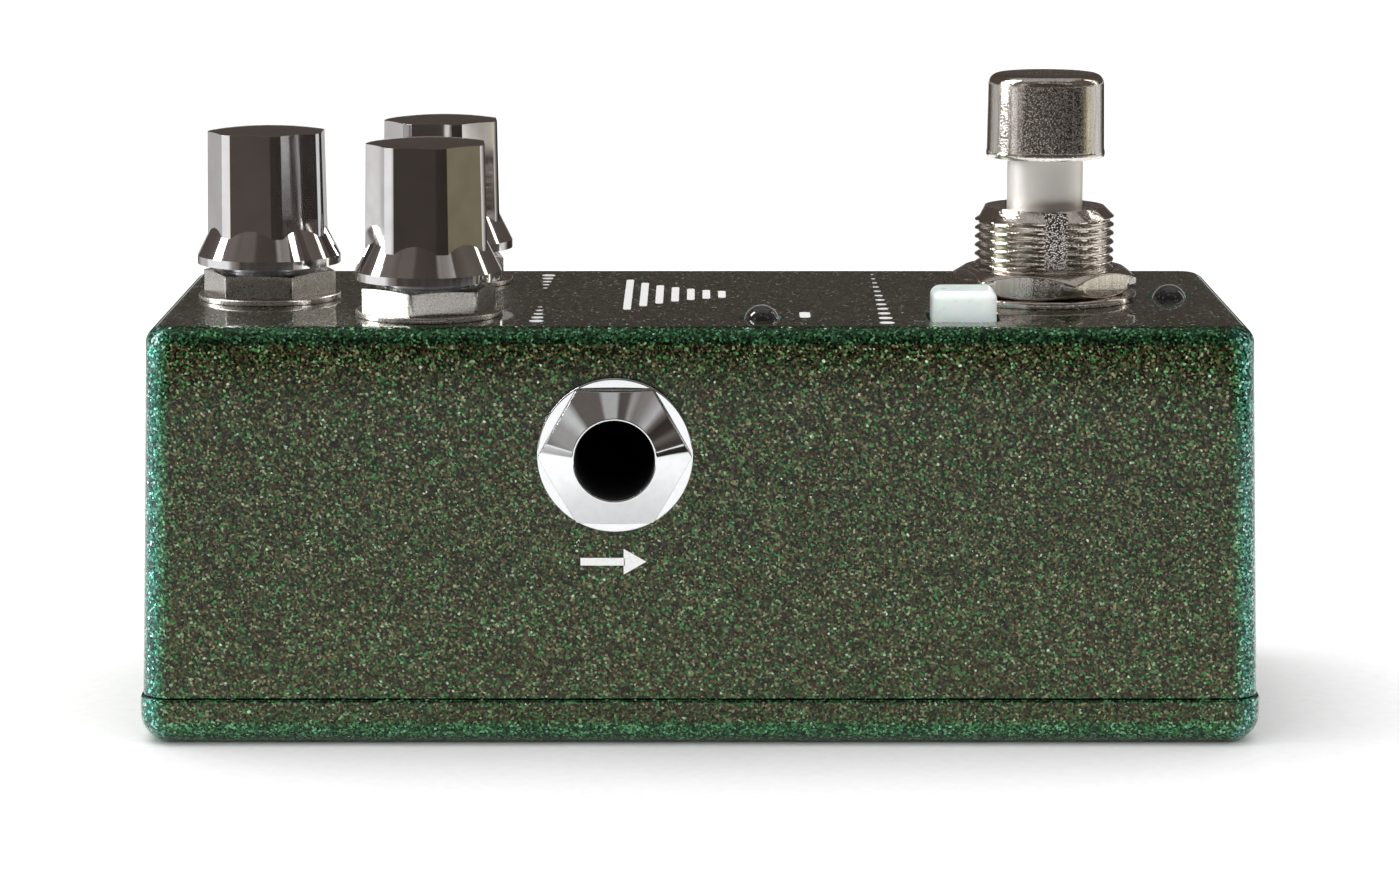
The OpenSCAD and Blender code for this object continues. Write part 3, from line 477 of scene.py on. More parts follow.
# %% [markdown]
# ## Nuts and washers
# A hexagon nut starts round and has its flats milled, so its upper corners keep a piece of the turned
# cone, and that is why each flat ends in an arch. The rule below does the milling: a point of the
# outer wall goes to the hexagon's radius, and the top edge drops with the cone where the corner
# reaches out. A narrow bevel then breaks all the edges, to catch the light.


# %% Nut and washer makers
def hexagon(angle, across):
    """Radius of a hexagon with corners on the X axis."""
    sixth = math.pi / 3
    return across / 2 / math.cos((angle % sixth) - sixth / 2)


def hex_nut(name, across, bore, thick, cone=0.55, lower_cone=True):
    """A nut that stands on Z = 0, its corners turned off."""
    blank = across / math.cos(math.pi / 6) / 2
    start = across / 2 * 0.985
    lead = 0.25
    inside = [(bore, lead), (bore, thick - lead), (bore + lead, thick)]
    outside = [(start, thick), (blank, thick * 0.6), (blank, thick * 0.4), (start, 0), (bore + lead, 0)]
    piece = turned(name, inside + outside, 120, bored=True)

    def mill(angle, radius, height):
        if radius < start + 0.01:
            return radius, height
        reach = hexagon(angle, across)
        drop = (reach - start) * cone
        if height > thick / 2:
            return reach, thick - drop
        return reach, drop if lower_cone else 0.0

    press(piece, mill)
    soften(piece, 0.06, 2, 25)
    return piece


def washer(name, outer, bore, thick, edge):
    """A flat ring whose upper edge is rounded over by the punch."""
    burr = 0.05
    foot = [(bore, thick - burr), (bore, 0), (outer - burr, 0), (outer, burr)]
    crown = arc((outer - edge, thick - edge), edge, 0, 90, 5)
    return turned(name, foot + crown + [(bore + burr, thick)], 96, bored=True)


# %% Nuts and washers of the knobs
pot_nut_low, pot_nut_high = box_mm("pot_nuts")
pot_nut = hex_nut("pot_nut", 10.0, 3.55, pot_nut_high.z - pot_nut_low.z, 0.15, lower_cone=False)
pot_washer = washer("pot_washer", 6.15, POT_HOLE, pot_nut_low.z - panel, 0.2)
nut_turns = {"mix": -5, "repeats": 18, "time": 40}
for name in knob_names:
    spot = centre_of(name + "_knob")
    nut = copy_of(pot_nut, name + "_nut")
    place(nut, (spot.x, spot.y, pot_nut_low.z), (0, 0, nut_turns[name]))
    settle(nut, "chassis", "satin_nickel", "pot_nuts")
    ring = copy_of(pot_washer, name + "_washer")
    place(ring, (spot.x, spot.y, panel))
    settle(ring, "chassis", "satin_nickel", "pot_washers")
bpy.data.objects.remove(pot_nut)
bpy.data.objects.remove(pot_washer)

# %% [markdown]
# ## Footswitch
# A heavy latching switch: a threaded bush through the panel, a nut and a washer that clamp it, a shaft
# and a press cap. The thread is a helix, so a point's radius depends on how far its height is from
# the helix at its angle. Pressing that into many rings gives a true spiral with no Boolean. The key
# slot that stops the switch from turning is then cut with a block, and the square frame below the
# panel is joined on.

# %% Threaded bush
body_low, body_high = box_mm("footswitch_body")
frame_top = panel - WALL - 0.8
BUSH_R, BUSH_BORE, BUSH_CHAMFER, BUSH_MOUTH = 6.0, 3.3, 0.85, 0.3
PITCH, THREAD_DEPTH = 0.75, 0.42
thread_top = body_high.z - BUSH_CHAMFER
ring_step = PITCH / 10
ring_count = round((thread_top - frame_top) / ring_step)
wall = [(BUSH_R, frame_top + (thread_top - frame_top) * i / ring_count) for i in range(ring_count + 1)]
mouth = [(BUSH_R - BUSH_CHAMFER, body_high.z), (BUSH_BORE + BUSH_MOUTH, body_high.z)]
mouth += [(BUSH_BORE, body_high.z - BUSH_MOUTH)]
profile = [(BUSH_BORE, frame_top - 2), (BUSH_R, frame_top - 2)] + wall + mouth
bush = turned("footswitch_bush", profile, 96, bored=True)


def thread_rule(angle, radius, height):
    if radius < BUSH_R - 0.01 or height < frame_top + 0.3:
        return radius, height
    turns = height / PITCH - angle / (2 * math.pi)
    flank = abs(2 * (turns % 1) - 1)
    cut = min(1, max(0, 1.35 * flank - 0.15))
    return radius - THREAD_DEPTH * cut, height


press(bush, thread_rule)
KEY_W, KEY_DEPTH, KEY_TURN = 2.0, 0.8, 5.7
key_low = (BUSH_R - KEY_DEPTH, -KEY_W / 2, frame_top + 0.01)
key = block("key", key_low, (BUSH_R + 2, KEY_W / 2, body_high.z + 1))
place(key, turn=(0, 0, KEY_TURN - 90))
join_or_cut(bush, key, "DIFFERENCE")
FRAME_HALF = 6.8
block_top = body_low.z
housing = block("housing", (-FRAME_HALF, -FRAME_HALF, block_top), (FRAME_HALF, FRAME_HALF, frame_top))
round_uprights(housing, 1.0, 5)
round_level(housing, frame_top, 0.3, 3)
housing_bore = turned("cutter", [(BUSH_BORE, block_top - 1), (BUSH_BORE, frame_top + 1)], 96)
join_or_cut(housing, housing_bore, "DIFFERENCE")
join_or_cut(bush, housing, "UNION")
place(bush, (switch_spot.x, switch_spot.y, 0))
settle(bush, "chassis", "bright_nickel", "footswitch_body")

# %% Nut, washer, shaft and cap
nut_low, nut_high = box_mm("footswitch_nut")
foot_nut = hex_nut("footswitch_hex_nut", 14.0, 6.05, nut_high.z - nut_low.z, cone=0.62)
place(foot_nut, (switch_spot.x, switch_spot.y, nut_low.z), (0, 0, -15))
settle(foot_nut, "chassis", "bright_nickel", "footswitch_nut")
foot_ring = washer("footswitch_flat_washer", 8.0, SWITCH_HOLE, nut_low.z - panel, 0.25)
place(foot_ring, (switch_spot.x, switch_spot.y, panel))
settle(foot_ring, "chassis", "bright_nickel", "footswitch_washer")
shaft_low, shaft_high = box_mm("footswitch_shaft")
STEM_R, STEM_CHAMFER = 3.25, 0.3
stem = [(2.6, shaft_low.z), (2.9, shaft_low.z + 0.1), (STEM_R, shaft_low.z + 0.5)]
stem += [(STEM_R, shaft_high.z - STEM_CHAMFER), (STEM_R - STEM_CHAMFER, shaft_high.z)]
rod = turned("footswitch_rod", stem, 64)
place(rod, (switch_spot.x, switch_spot.y, 0))
settle(rod, "footswitch_plunger", "satin_nickel", "footswitch_shaft")
cap_low, cap_high = box_mm("footswitch_cap")
CAP_R, CAP_TAPER, CAP_ROUND, CAP_BORE = 5.1, 0.15, 0.9, 3.3
crown = arc((CAP_R - CAP_TAPER - CAP_ROUND, cap_high.z - CAP_ROUND), CAP_ROUND, 0, 86, 9)
cap_bore = [(CAP_BORE, cap_low.z + 4), (CAP_BORE, cap_low.z + 0.2), (CAP_BORE + 0.2, cap_low.z)]
bead = [(CAP_R - 0.25, cap_low.z), (CAP_R - 0.07, cap_low.z + 0.08), (CAP_R, cap_low.z + 0.28)]
bead += [(CAP_R, cap_low.z + 0.5), (CAP_R - 0.06, cap_low.z + 0.72)]
cap_profile = cap_bore + bead + crown + [(2.6, cap_high.z), (0.8, cap_high.z)]
press_cap = turned("footswitch_press_cap", cap_profile, 96)
place(press_cap, (switch_spot.x, switch_spot.y, 0))
settle(press_cap, "footswitch_plunger", "bright_nickel", "footswitch_cap")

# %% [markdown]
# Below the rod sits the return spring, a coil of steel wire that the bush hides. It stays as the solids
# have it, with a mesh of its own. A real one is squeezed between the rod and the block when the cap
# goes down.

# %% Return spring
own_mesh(bpy.data.objects["footswitch_spring"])

# %% [markdown]
# ## Audio jacks
# The nut of a panel jack is the piece the eye goes to: a thin hexagon whose face is one wide cone that
# runs down into the bore and closes over the end of the threaded bush. It is turned with that cone
# and then milled by the same rule as the other nuts. One nut and one washer are made lying on the
# XY plane, and turned to face each wall.

# %% Jack nuts and washers
out_washer_low, out_washer_high = box_mm("out_jack_washer")
JACK_AF, JACK_T, JACK_RIM, JACK_LIP, BORE_R, BUSH_OUT = 11.0, 2.6, 0.8, 0.7, 3.3, 4.25
jack_corner = JACK_AF / 2 / math.cos(math.pi / 6)
MOUTH_ROUND = 0.14
mouth_arc = arc((BORE_R + MOUTH_ROUND, JACK_T - MOUTH_ROUND), MOUTH_ROUND, 180, 70, 6)
jack_profile = [(BUSH_OUT, 0), (BUSH_OUT, JACK_T - JACK_LIP), (BORE_R, JACK_T - JACK_LIP)] + mouth_arc
jack_profile += [(jack_corner, JACK_RIM), (jack_corner, 0)]
jack_nut = turned("jack_nut", jack_profile, 120, bored=True)
mouth_r, mouth_z = mouth_arc[-1]
cone_fall = (mouth_z - JACK_RIM) / (jack_corner - mouth_r)


def jack_mill(angle, radius, height):
    if radius < jack_corner - 0.1:
        return radius, height
    reach = hexagon(angle, JACK_AF)
    return reach, 0.0 if height < 0.1 else JACK_RIM + (jack_corner - reach) * cone_fall


press(jack_nut, jack_mill)
soften(jack_nut, 0.07, 2, 20)
jack_washer = washer("jack_washer", 6.45, JACK_HOLE, out_washer_high.y - out_washer_low.y, 0.15)
for name, turn in jack_sides.items():
    spot = centre_of(name + "_washer")
    near_wall, outside = sorted((side.y for side in box_mm(name + "_washer")), key=abs)
    ring = copy_of(jack_washer, name + "_flat_ring")
    place(ring, (spot.x, near_wall, spot.z), (90, 0, turn))
    settle(ring, "chassis", "mirror_chrome", name + "_washer")
    cone_nut = copy_of(jack_nut, name + "_cone_nut")
    place(cone_nut, (spot.x, outside, spot.z), (90, 0, turn))
    settle(cone_nut, "chassis", "mirror_chrome", name + "_nut")
bpy.data.objects.remove(jack_nut)
bpy.data.objects.remove(jack_washer)

# %% [markdown]
# ## Mode button and lamps
# The button is a square cap of milky plastic with soft corners. A flange under the panel keeps it
# from coming out, and a square socket takes the stem of its switch. It is a block with its edges
# bevelled, cut across twice so that a band of its sides can be pushed out for the flange. The lamps
# are turned domes with a rim that sits behind the panel. Unlit, they look almost black.

# %% Button
button_low, button_high = box_mm("mode_button")
BUTTON_HALF, BUTTON_CORNER, BUTTON_EDGE = 2.7, 1.15, 0.75
FLANGE_OUT, FLANGE_H = 0.7, 1
SOCKET_HALF, SOCKET_H = 1.55, 2.8
button = square_block("mode_button_cap", button_spot, BUTTON_HALF, button_low.z, button_high.z)
round_uprights(button, BUTTON_CORNER, 8)
round_level(button, button_high.z, BUTTON_EDGE, 6)
flange_top = panel - WALL - 0.3
flange_low = flange_top - FLANGE_H
for height in (flange_low, flange_top):
    bpy.ops.mesh.select_all(action="SELECT")
    bpy.ops.mesh.bisect(plane_co=(0, 0, height), plane_no=(0, 0, 1))
pick(button, "FACE", lambda middle, normal: flange_low < middle.z < flange_top and abs(normal.z) < 0.1)
bpy.ops.mesh.extrude_region_shrink_fatten(TRANSFORM_OT_shrink_fatten={"value": FLANGE_OUT})
socket = square_block("socket", button_spot, SOCKET_HALF, button_low.z - 1, button_low.z + SOCKET_H)
join_or_cut(button, socket, "DIFFERENCE")
settle(button, "mode_key", "milky_plastic", "mode_button")

# %% Lamps
LAMP_R, RIM_R, LAMP_RIM, RIM_EDGE = 1.5, 1.9, 1.0, 0.1
for name in lamp_nodes:
    low, high = box_mm(name)
    rim_top = low.z + LAMP_RIM
    rim = [(RIM_R - RIM_EDGE, low.z), (RIM_R, low.z + RIM_EDGE), (RIM_R, rim_top - RIM_EDGE)]
    rim += [(RIM_R - RIM_EDGE, rim_top), (LAMP_R, rim_top)]
    lens = turned(name + "_lens", rim + arc((0, high.z - LAMP_R), LAMP_R, 0, 86, 12), 64)
    spot = centre_of(name)
    place(lens, (spot.x, spot.y, 0))
    settle(lens, "chassis", "lamp_lens", name, smooth=50)

# %% [markdown]
# ## Prints
# White ink on the lacquer: an arrow under the output jack, tick marks by the knobs, a fading row of
# bars as the sign of an echo, and a dot by the mode lamp. Each is a flat shape with a thickness of a
# few hundredths of a millimetre, laid on the panel or on the leaning wall.

# %% Prints on the panel and the wall
INK = 0.02


def ink_bar(name, x, y, half_x, half_y):
    """A flat bar of ink on the panel, with rounded ends."""
    bar = block(name, (x - half_x, y - half_y, panel), (x + half_x, y + half_y, panel + INK))
    round_uprights(bar, min(half_x, half_y) * 0.9, 4)
    object_mode()
    return bar


def gather(name, parts):
    """Joins several parts into one piece."""
    object_mode()
    bpy.ops.object.select_all(action="DESELECT")
    for part in parts:
        part.select_set(True)
    bpy.context.view_layer.objects.active = parts[0]
    bpy.ops.object.join()
    joined = bpy.context.object
    joined.name = name
    return joined


BAR_X, BAR_Y, BAR_STEP, BAR_HALF, BAR_REACH, BAR_FADE = -6.2, 1.7, 1.35, 0.33, 9.5, 0.78
bars = []
for i in range(7):
    bars.append(ink_bar("bar", BAR_X + BAR_STEP * i, BAR_Y, BAR_HALF, BAR_REACH * BAR_FADE**i))
settle(gather("echo_bars", bars), "chassis", "white_ink")
TICK_X, TICK_Y, TICK_START, TICK_STEP = -13.6, -0.2, 6.0, 2.1
ticks = []
for side in (-1, 1):
    for i in range(5):
        size = 0.2 + 0.1 * i
        ticks.append(ink_bar("tick", TICK_X, side * (TICK_START + TICK_STEP * i) + TICK_Y, size, size))
settle(gather("knob_ticks", ticks), "chassis", "white_ink")
settle(ink_bar("lamp_mark", 8.8, -11.0, 0.45, 1.6), "chassis", "white_ink")
DOT_X, DOT_Y, DOT_STEP, DOT_HALF = 15.5, -15.6, 2.75, 0.62
dots = []
for i in range(12):
    size = DOT_HALF * (1 - i / 14)
    dots.append(ink_bar("dot", DOT_X, DOT_Y + DOT_STEP * i, size, size))
settle(gather("panel_dots", dots), "chassis", "white_ink")

# %% Arrow on the wall
ARROW_X, ARROW_Z = -7.2, 15.7
TAIL, NECK, SHAFT_HALF, HEAD_SIZE = 2.7, 1.0, 0.32, 1.25
tail_corner = (ARROW_X - TAIL, -INK, ARROW_Z - SHAFT_HALF)
arrow = block("shaft", tail_corner, (ARROW_X + NECK, INK, ARROW_Z + SHAFT_HALF))
head = add("head", bpy.ops.mesh.primitive_circle_add, vertices=3, radius=HEAD_SIZE, fill_type="NGON")
bpy.ops.mesh.select_all(action="SELECT")
bpy.ops.mesh.extrude_region_move(TRANSFORM_OT_translate={"value": (0, 0, INK)})
place(head, turn=(90, 90, 0))
place(head, (ARROW_X + 1.5, INK, ARROW_Z))
arrow = gather("output_arrow", [arrow, head])
for point in arrow.data.vertices:
    wall_y = shell_high.y - (point.co.z - seam) * SIDE_LEAN
    point.co.y = -wall_y - (INK if point.co.y < INK / 2 else 0)
only(arrow)
bpy.ops.object.mode_set(mode="EDIT")
bpy.ops.mesh.select_all(action="SELECT")
bpy.ops.mesh.normals_make_consistent(inside=False)
settle(arrow, "chassis", "white_ink")


# %% [markdown]
# ## Shader arithmetic
# A material is a graph of nodes, and long graphs are hard to read as code. This small class wraps one
# socket, so that adding or multiplying two of them adds a Math node, and any other node comes from
# one method. A number that is the same all over a surface is set on the shader itself.


# %% A socket that can be calculated with
class Wire:
    def __init__(self, tree, socket):
        self.tree = tree
        self.socket = socket

    def node(self, kind, settings, sockets, out=0):
        """Adds a node: its settings first, then the values or wires of its sockets."""
        made = self.tree.nodes.new(kind)
        for key, value in settings.items():
            setattr(made, key, value)
        for key, value in sockets.items():
            if isinstance(value, Wire):
                self.tree.links.new(value.socket, made.inputs[key])
            else:
                made.inputs[key].default_value = value
        return Wire(self.tree, made.outputs[out])

    def math(self, operation, first, second=0.0):
        return self.node("ShaderNodeMath", {"operation": operation}, {0: first, 1: second})

    def __add__(self, other):
        return self.math("ADD", self, other)

    __radd__ = __add__

    def __sub__(self, other):
        return self.math("SUBTRACT", self, other)

    def __rsub__(self, other):
        return self.math("SUBTRACT", other, self)

    def __mul__(self, other):
        return self.math("MULTIPLY", self, other)

    __rmul__ = __mul__

    def __truediv__(self, other):
        return self.math("DIVIDE", self, other)

    def __gt__(self, other):
        return self.math("GREATER_THAN", self, other)

    def clamp(self):
        return self.node("ShaderNodeClamp", {}, {0: self})

    def ramp(self, stops, fade="LINEAR"):
        """Turns this value into a colour, by stops of a place from 0 to 1 and the colour there."""
        made = self.node("ShaderNodeValToRGB", {}, {0: self})
        band = made.socket.node.color_ramp
        band.interpolation = fade
        while len(band.elements) < len(stops):
            band.elements.new(1)
        for stop, (at, colour) in zip(band.elements, stops):
            stop.position = at
            stop.color = (*colour, 1)
        return made

    def between(self, first, second):
        """Fades from one colour to another over the middle of the values of a noise."""
        return self.ramp([(0.3, first), (0.7, second)])

    def tint(self, first, second):
        """Mixes two colours by this value."""
        return self.node("ShaderNodeMix", {"data_type": "RGBA"}, {0: self, 6: first, 7: second}, 2)

    def noise(self, scale, detail=3.0):
        """Cloudy noise at this place, in waves to the metre."""
        sockets = {"Vector": self, "Scale": scale, "Detail": detail}
        return self.node("ShaderNodeTexNoise", {}, sockets)

    def cells(self, scale, out="Color"):
        return self.node("ShaderNodeTexVoronoi", {}, {"Vector": self, "Scale": scale}, out)

    def stretched(self, x, y, z):
        sockets = {"Vector": self, "Scale": (x, y, z)}
        return self.node("ShaderNodeMapping", {"vector_type": "POINT"}, sockets)

    def split(self, out):
        """One channel of a colour."""
        return self.node("ShaderNodeSeparateColor", {}, {0: self}, out)

    def along(self, axis):
        """One coordinate of a vector."""
        return self.node("ShaderNodeSeparateXYZ", {}, {0: self}, axis)

    def vector(self, operation, sockets=None, out=0):
        """Arithmetic on this vector and on what the other sockets are given."""
        sockets = {0: self, **(sockets or {})}
        return self.node("ShaderNodeVectorMath", {"operation": operation}, sockets, out)


finishes = {}


def finish(name, **constants):
    """A new material, kept by its name: its shader, and the place on the piece."""
    made = bpy.data.materials.new(name)
    made.use_nodes = True
    tree = made.node_tree
    shader = tree.nodes["Principled BSDF"]
    for key, value in constants.items():
        shader.inputs[key.replace("_", " ").title().replace("Ior", "IOR")].default_value = value
    coordinates = tree.nodes.new("ShaderNodeTexCoord")
    finishes[name] = made
    return shader, Wire(tree, coordinates.outputs["Object"])


def wire_up(shader, **inputs):
    """Links what changes over the surface to the shader."""
    for key, wire in inputs.items():
        wire.tree.links.new(wire.socket, shader.inputs[key.replace("_", " ").title()])


def bump(height, strength, distance):
    sockets = {"Height": height, "Strength": strength, "Distance": distance}
    return height.node("ShaderNodeBump", {}, sockets, "Normal")


def grained(name, scale, detail, colours, rough, stretch=(1, 1, 1), dents=None, **constants):
    """A finish whose colour and roughness, and dents if it has any, follow one grain."""
    shader, spot = finish(name, **constants)
    grain = spot.stretched(*stretch).noise(scale, detail)
    wire_up(shader, base_color=grain.between(*colours), roughness=rough[0] + rough[1] * grain)
    if dents:
        wire_up(shader, normal=bump(grain, *dents))


# %% [markdown]
# ## Metal-flake lacquer
# The paint is a clear gloss coat over a brown-black base full of tiny flakes. Most flakes look green
# or olive, and a few are pale. Each Voronoi cell is one flake of about a fifth of a millimetre:
# its random colour picks the pigment from a stepped ramp, says how much light it catches, and tilts the
# surface under the coat. Flakes lie differently on tight curves, so their tilt grows there. The round
# edges are painted a brighter green, partly the flakes' shift of colour and partly a painted highlight,
# and where the edge stands upright and at the corners they are painted pale teal, a painted highlight
# of the side lamps. The piece's own normal says which. On the flat top a few flakes are painted pale
# and unmetallic, as painted glints.

# %% Lacquer
FLAKE, SPARK = 5800.0, 0.985
shader, spot = finish(
    "sparkle_paint",
    coat_weight=1.0,
    coat_roughness=0.03,
    coat_ior=1.33,
    roughness=0.28,
    specular_ior_level=0.25,
)
flakes = spot.cells(FLAKE)
pigment = flakes.split(0)
PIGMENTS = [
    (0.00, (0.024, 0.018, 0.008)),
    (0.34, (0.054, 0.052, 0.018)),
    (0.60, (0.022, 0.118, 0.030)),
    (0.78, (0.125, 0.120, 0.060)),
    (0.92, (0.130, 0.210, 0.105)),
    (SPARK, (0.270, 0.340, 0.240)),
]
flat_colour = pigment.ramp(PIGMENTS, "CONSTANT")
# Pale teal for the upright edges and corners: a painted highlight of the side lamps.
EDGE_HIGHLIGHT_PIGMENTS = [
    (0.00, (0.009, 0.052, 0.036)),
    (0.30, (0.018, 0.150, 0.100)),
    (0.55, (0.045, 0.300, 0.210)),
    (0.75, (0.110, 0.450, 0.350)),
    (0.90, (0.300, 0.620, 0.550)),
    (0.96, (0.640, 0.800, 0.760)),
]
edge_highlight_colour = pigment.ramp(EDGE_HIGHLIGHT_PIGMENTS, "CONSTANT")
# A brighter green for the round edges: partly the flakes' shift of colour on curves, partly a painted
# highlight.
ROLL_PIGMENTS_AND_HIGHLIGHT = [
    (0.00, (0.008, 0.030, 0.012)),
    (0.35, (0.022, 0.085, 0.032)),
    (0.60, (0.046, 0.190, 0.070)),
    (0.82, (0.110, 0.300, 0.125)),
    (0.95, (0.160, 0.400, 0.250)),
]
roll_colour_and_highlight = pigment.ramp(ROLL_PIGMENTS_AND_HIGHLIGHT, "CONSTANT")
facing = spot.node("ShaderNodeTexCoord", {}, {}, "Normal").vector("ABSOLUTE")
sides = [facing.along(axis) for axis in range(3)]
largest = sides[0].math("MAXIMUM", sides[0].math("MAXIMUM", sides[0], sides[1]), sides[2])
bend = largest.math("SQRT", (1.0 - largest * largest).clamp())
upright = (sides[0].math("MINIMUM", sides[0], sides[1]) * 3.0).clamp()
# Masks of the round edges and of the upright ones, where the painted highlight goes.
green = (bend * 5.0 - 0.25).clamp()
teal = (bend * 3.5 - 1.1).clamp() * upright
shade = green.tint(flat_colour, roll_colour_and_highlight)
shade = teal.tint(shade, edge_highlight_colour)
cloud = spot.noise(260.0, 4.0)
catch = (0.2 + 1.75 * flakes.split(1)) * (0.8 + 0.4 * cloud)
lit = shade.vector("SCALE", {"Scale": catch})
# Pale, unmetallic flakes on the flat top only: painted glints.
painted_glint = (pigment > SPARK) * (sides[2] > 0.9)
lit = painted_glint.tint(lit, (0.55, 0.62, 0.58, 1))
tilt = flakes.vector("SUBTRACT", {1: (0.5, 0.5, 0.5)}).vector("SCALE", {"Scale": 0.42 + 0.7 * teal})
geometry = spot.node("ShaderNodeNewGeometry", {}, {}, "Normal")
leaning = geometry.vector("ADD", {1: tilt}).vector("NORMALIZE")
metal = 0.7 + (flakes.split(2) > 0.45) * 0.3
metal = metal - 0.6 * (green * upright - teal).clamp()
metal = metal * (1.0 - painted_glint)
wire_up(shader, base_color=lit, metallic=metal, normal=leaning)
print("lacquer with", len(PIGMENTS), "pigments, flakes of", round(1000 / FLAKE, 3), "mm")

# %% [markdown]
# ## Plastics and ink
# The button is milky and lets light into itself. The jacks' and switches' housings are matt, with the
# fine grain of a sparked mould. The lamps' resin is smoked, and pale only at its rim.
# The ink is a flat white with the weave of its printing screen.

# %% Milky plastic, ink, dark plastic, lamp lens
shader, spot = finish(
    "milky_plastic", subsurface_weight=0.5, subsurface_scale=0.002, coat_weight=0.3, coat_roughness=0.1
)
haze = spot.noise(700.0, 4.0)
wire_up(
    shader,
    base_color=haze.ramp([(0.25, (0.78, 0.91, 0.88)), (0.75, (0.86, 0.96, 0.93))]),
    roughness=0.22 + 0.16 * haze,
    normal=bump(spot.noise(5200.0, 2.0), 0.05, 0.00003),
)

ink_white = ((0.78, 0.78, 0.77), (0.88, 0.88, 0.87))
grained("white_ink", 3800.0, 3.0, ink_white, (0.4, 0.2), coat_weight=0.2, coat_roughness=0.2)
mould_black = ((0.012, 0.012, 0.013), (0.026, 0.026, 0.028))
grained("dark_plastic", 5200.0, 3.0, mould_black, (0.42, 0.2), dents=(0.15, 0.00005))
smoke = ((0.008, 0.008, 0.008), (0.016, 0.014, 0.014))
gloss = {"coat_weight": 1.0, "coat_roughness": 0.02, "sheen_weight": 1.0, "sheen_roughness": 0.3}
grained("lamp_lens", 900.0, 3.0, smoke, (0.05, 0.05), **gloss)
print("plastics:", [name for name in finishes if "plastic" in name])

# %% [markdown]
# ## Plated metals
# Nickel is warm and chrome is cool. The footswitch has bright nickel that is finely pitted, the pot
# nuts a satin tumbled plating, and the jack nuts and knobs a mirror with faint wiping marks. The
# switch's rod, the only satin piece above the nuts, is turned, so it is rougher, and its colour is
# painted paler as a painted highlight. Zinc on steel is blue-grey with a spangle, and the contacts are
# a yellow alloy.

# %% Metals
shader, spot = finish("bright_nickel", metallic=1.0)
streak = spot.stretched(1.0, 1.0, 0.06).noise(5200.0, 4.0)
pits = spot.cells(6600.0, "Distance")
pitted = pits.ramp([(0.10, (0.0, 0.0, 0.0)), (0.50, (1.0, 1.0, 1.0))])
wire_up(
    shader,
    base_color=streak.between((0.66, 0.61, 0.56), (0.84, 0.80, 0.75)),
    roughness=0.04 + 0.07 * streak,
    normal=bump(pitted.split(0) + 0.3 * streak, 0.22, 0.00003),
)

shader, spot = finish("knob_chrome", metallic=1.0)
wiped = spot.stretched(1.0, 1.0, 0.12).noise(2600.0, 5.0)
smear = spot.noise(380.0, 4.0)
wire_up(
    shader,
    base_color=smear.between((0.76, 0.74, 0.74), (0.86, 0.85, 0.85)),
    roughness=0.03 + 0.06 * wiped,
    normal=bump(wiped + smear, 0.03, 0.00004),
)

shader, spot = finish("satin_nickel", metallic=1.0)
frost = spot.noise(6800.0, 4.0)
NUT_TOP = 0.041
# Above the nuts, on the rod only: a paler colour as a painted highlight, and a rougher finish.
rod_painted_highlight = spot.along(2) > NUT_TOP
tumbled = frost.between((0.50, 0.47, 0.44), (0.76, 0.73, 0.70))
wire_up(
    shader,
    base_color=rod_painted_highlight.tint(tumbled, (0.90, 0.87, 0.83, 1)),
    roughness=0.20 + 0.16 * frost + 0.25 * rod_painted_highlight,
    normal=bump(frost, 0.25, 0.00003),
)

cool_chrome = ((0.74, 0.76, 0.77), (0.81, 0.82, 0.83))
grained("mirror_chrome", 1400.0, 5.0, cool_chrome, (0.02, 0.06), metallic=1.0)
yellow_alloy = ((0.66, 0.50, 0.23), (0.84, 0.67, 0.34))
rolled = (1.0, 0.08, 1.0)
grained("contact_metal", 6000.0, 3.0, yellow_alloy, (0.2, 0.2), rolled, metallic=1.0)

shader, spot = finish("zinc_steel", metallic=1.0)
spangle = spot.cells(900.0).split(0)
fine = spot.noise(7000.0, 3.0)
wire_up(
    shader,
    base_color=spangle.ramp([(0.0, (0.48, 0.50, 0.53)), (1.0, (0.66, 0.67, 0.68))]),
    roughness=0.26 + 0.18 * fine,
    normal=bump(fine, 0.12, 0.00003),
)

# %% Laminates
shader, spot = finish("board_laminate", coat_weight=0.4, coat_roughness=0.2)
brick = {"Vector": spot, "Scale": 260.0, "Mortar Size": 0.06}
track = spot.node("ShaderNodeTexBrick", {}, brick, "Fac")
weave = spot.noise(3000.0, 3.0)
mask_colour = weave.between((0.010, 0.075, 0.035), (0.016, 0.105, 0.050))
wire_up(
    shader,
    base_color=track.tint(mask_colour, (0.030, 0.170, 0.085, 1)),
    roughness=0.32 + 0.2 * weave,
)

paper = ((0.14, 0.060, 0.025), (0.26, 0.125, 0.055))
weft = (1.0, 0.2, 1.0)
grained("brown_laminate", 4200.0, 5.0, paper, (0.45, 0.2), weft, (0.1, 0.00004))

# %% Put the finishes on
record_slots = {sub["node"]: sub["material_slot"] for sub in frame["record"]["subparts"]}
for name, node in frame["nodes"].items():
    node.data.materials.clear()
    node.data.materials.append(finishes[record_slots[name]])
for name, slot in pieces.items():
    bpy.data.objects[name].data.materials.clear()
    bpy.data.objects[name].data.materials.append(finishes[slot])
print(len(pieces), "pieces finished with", len(finishes), "materials")

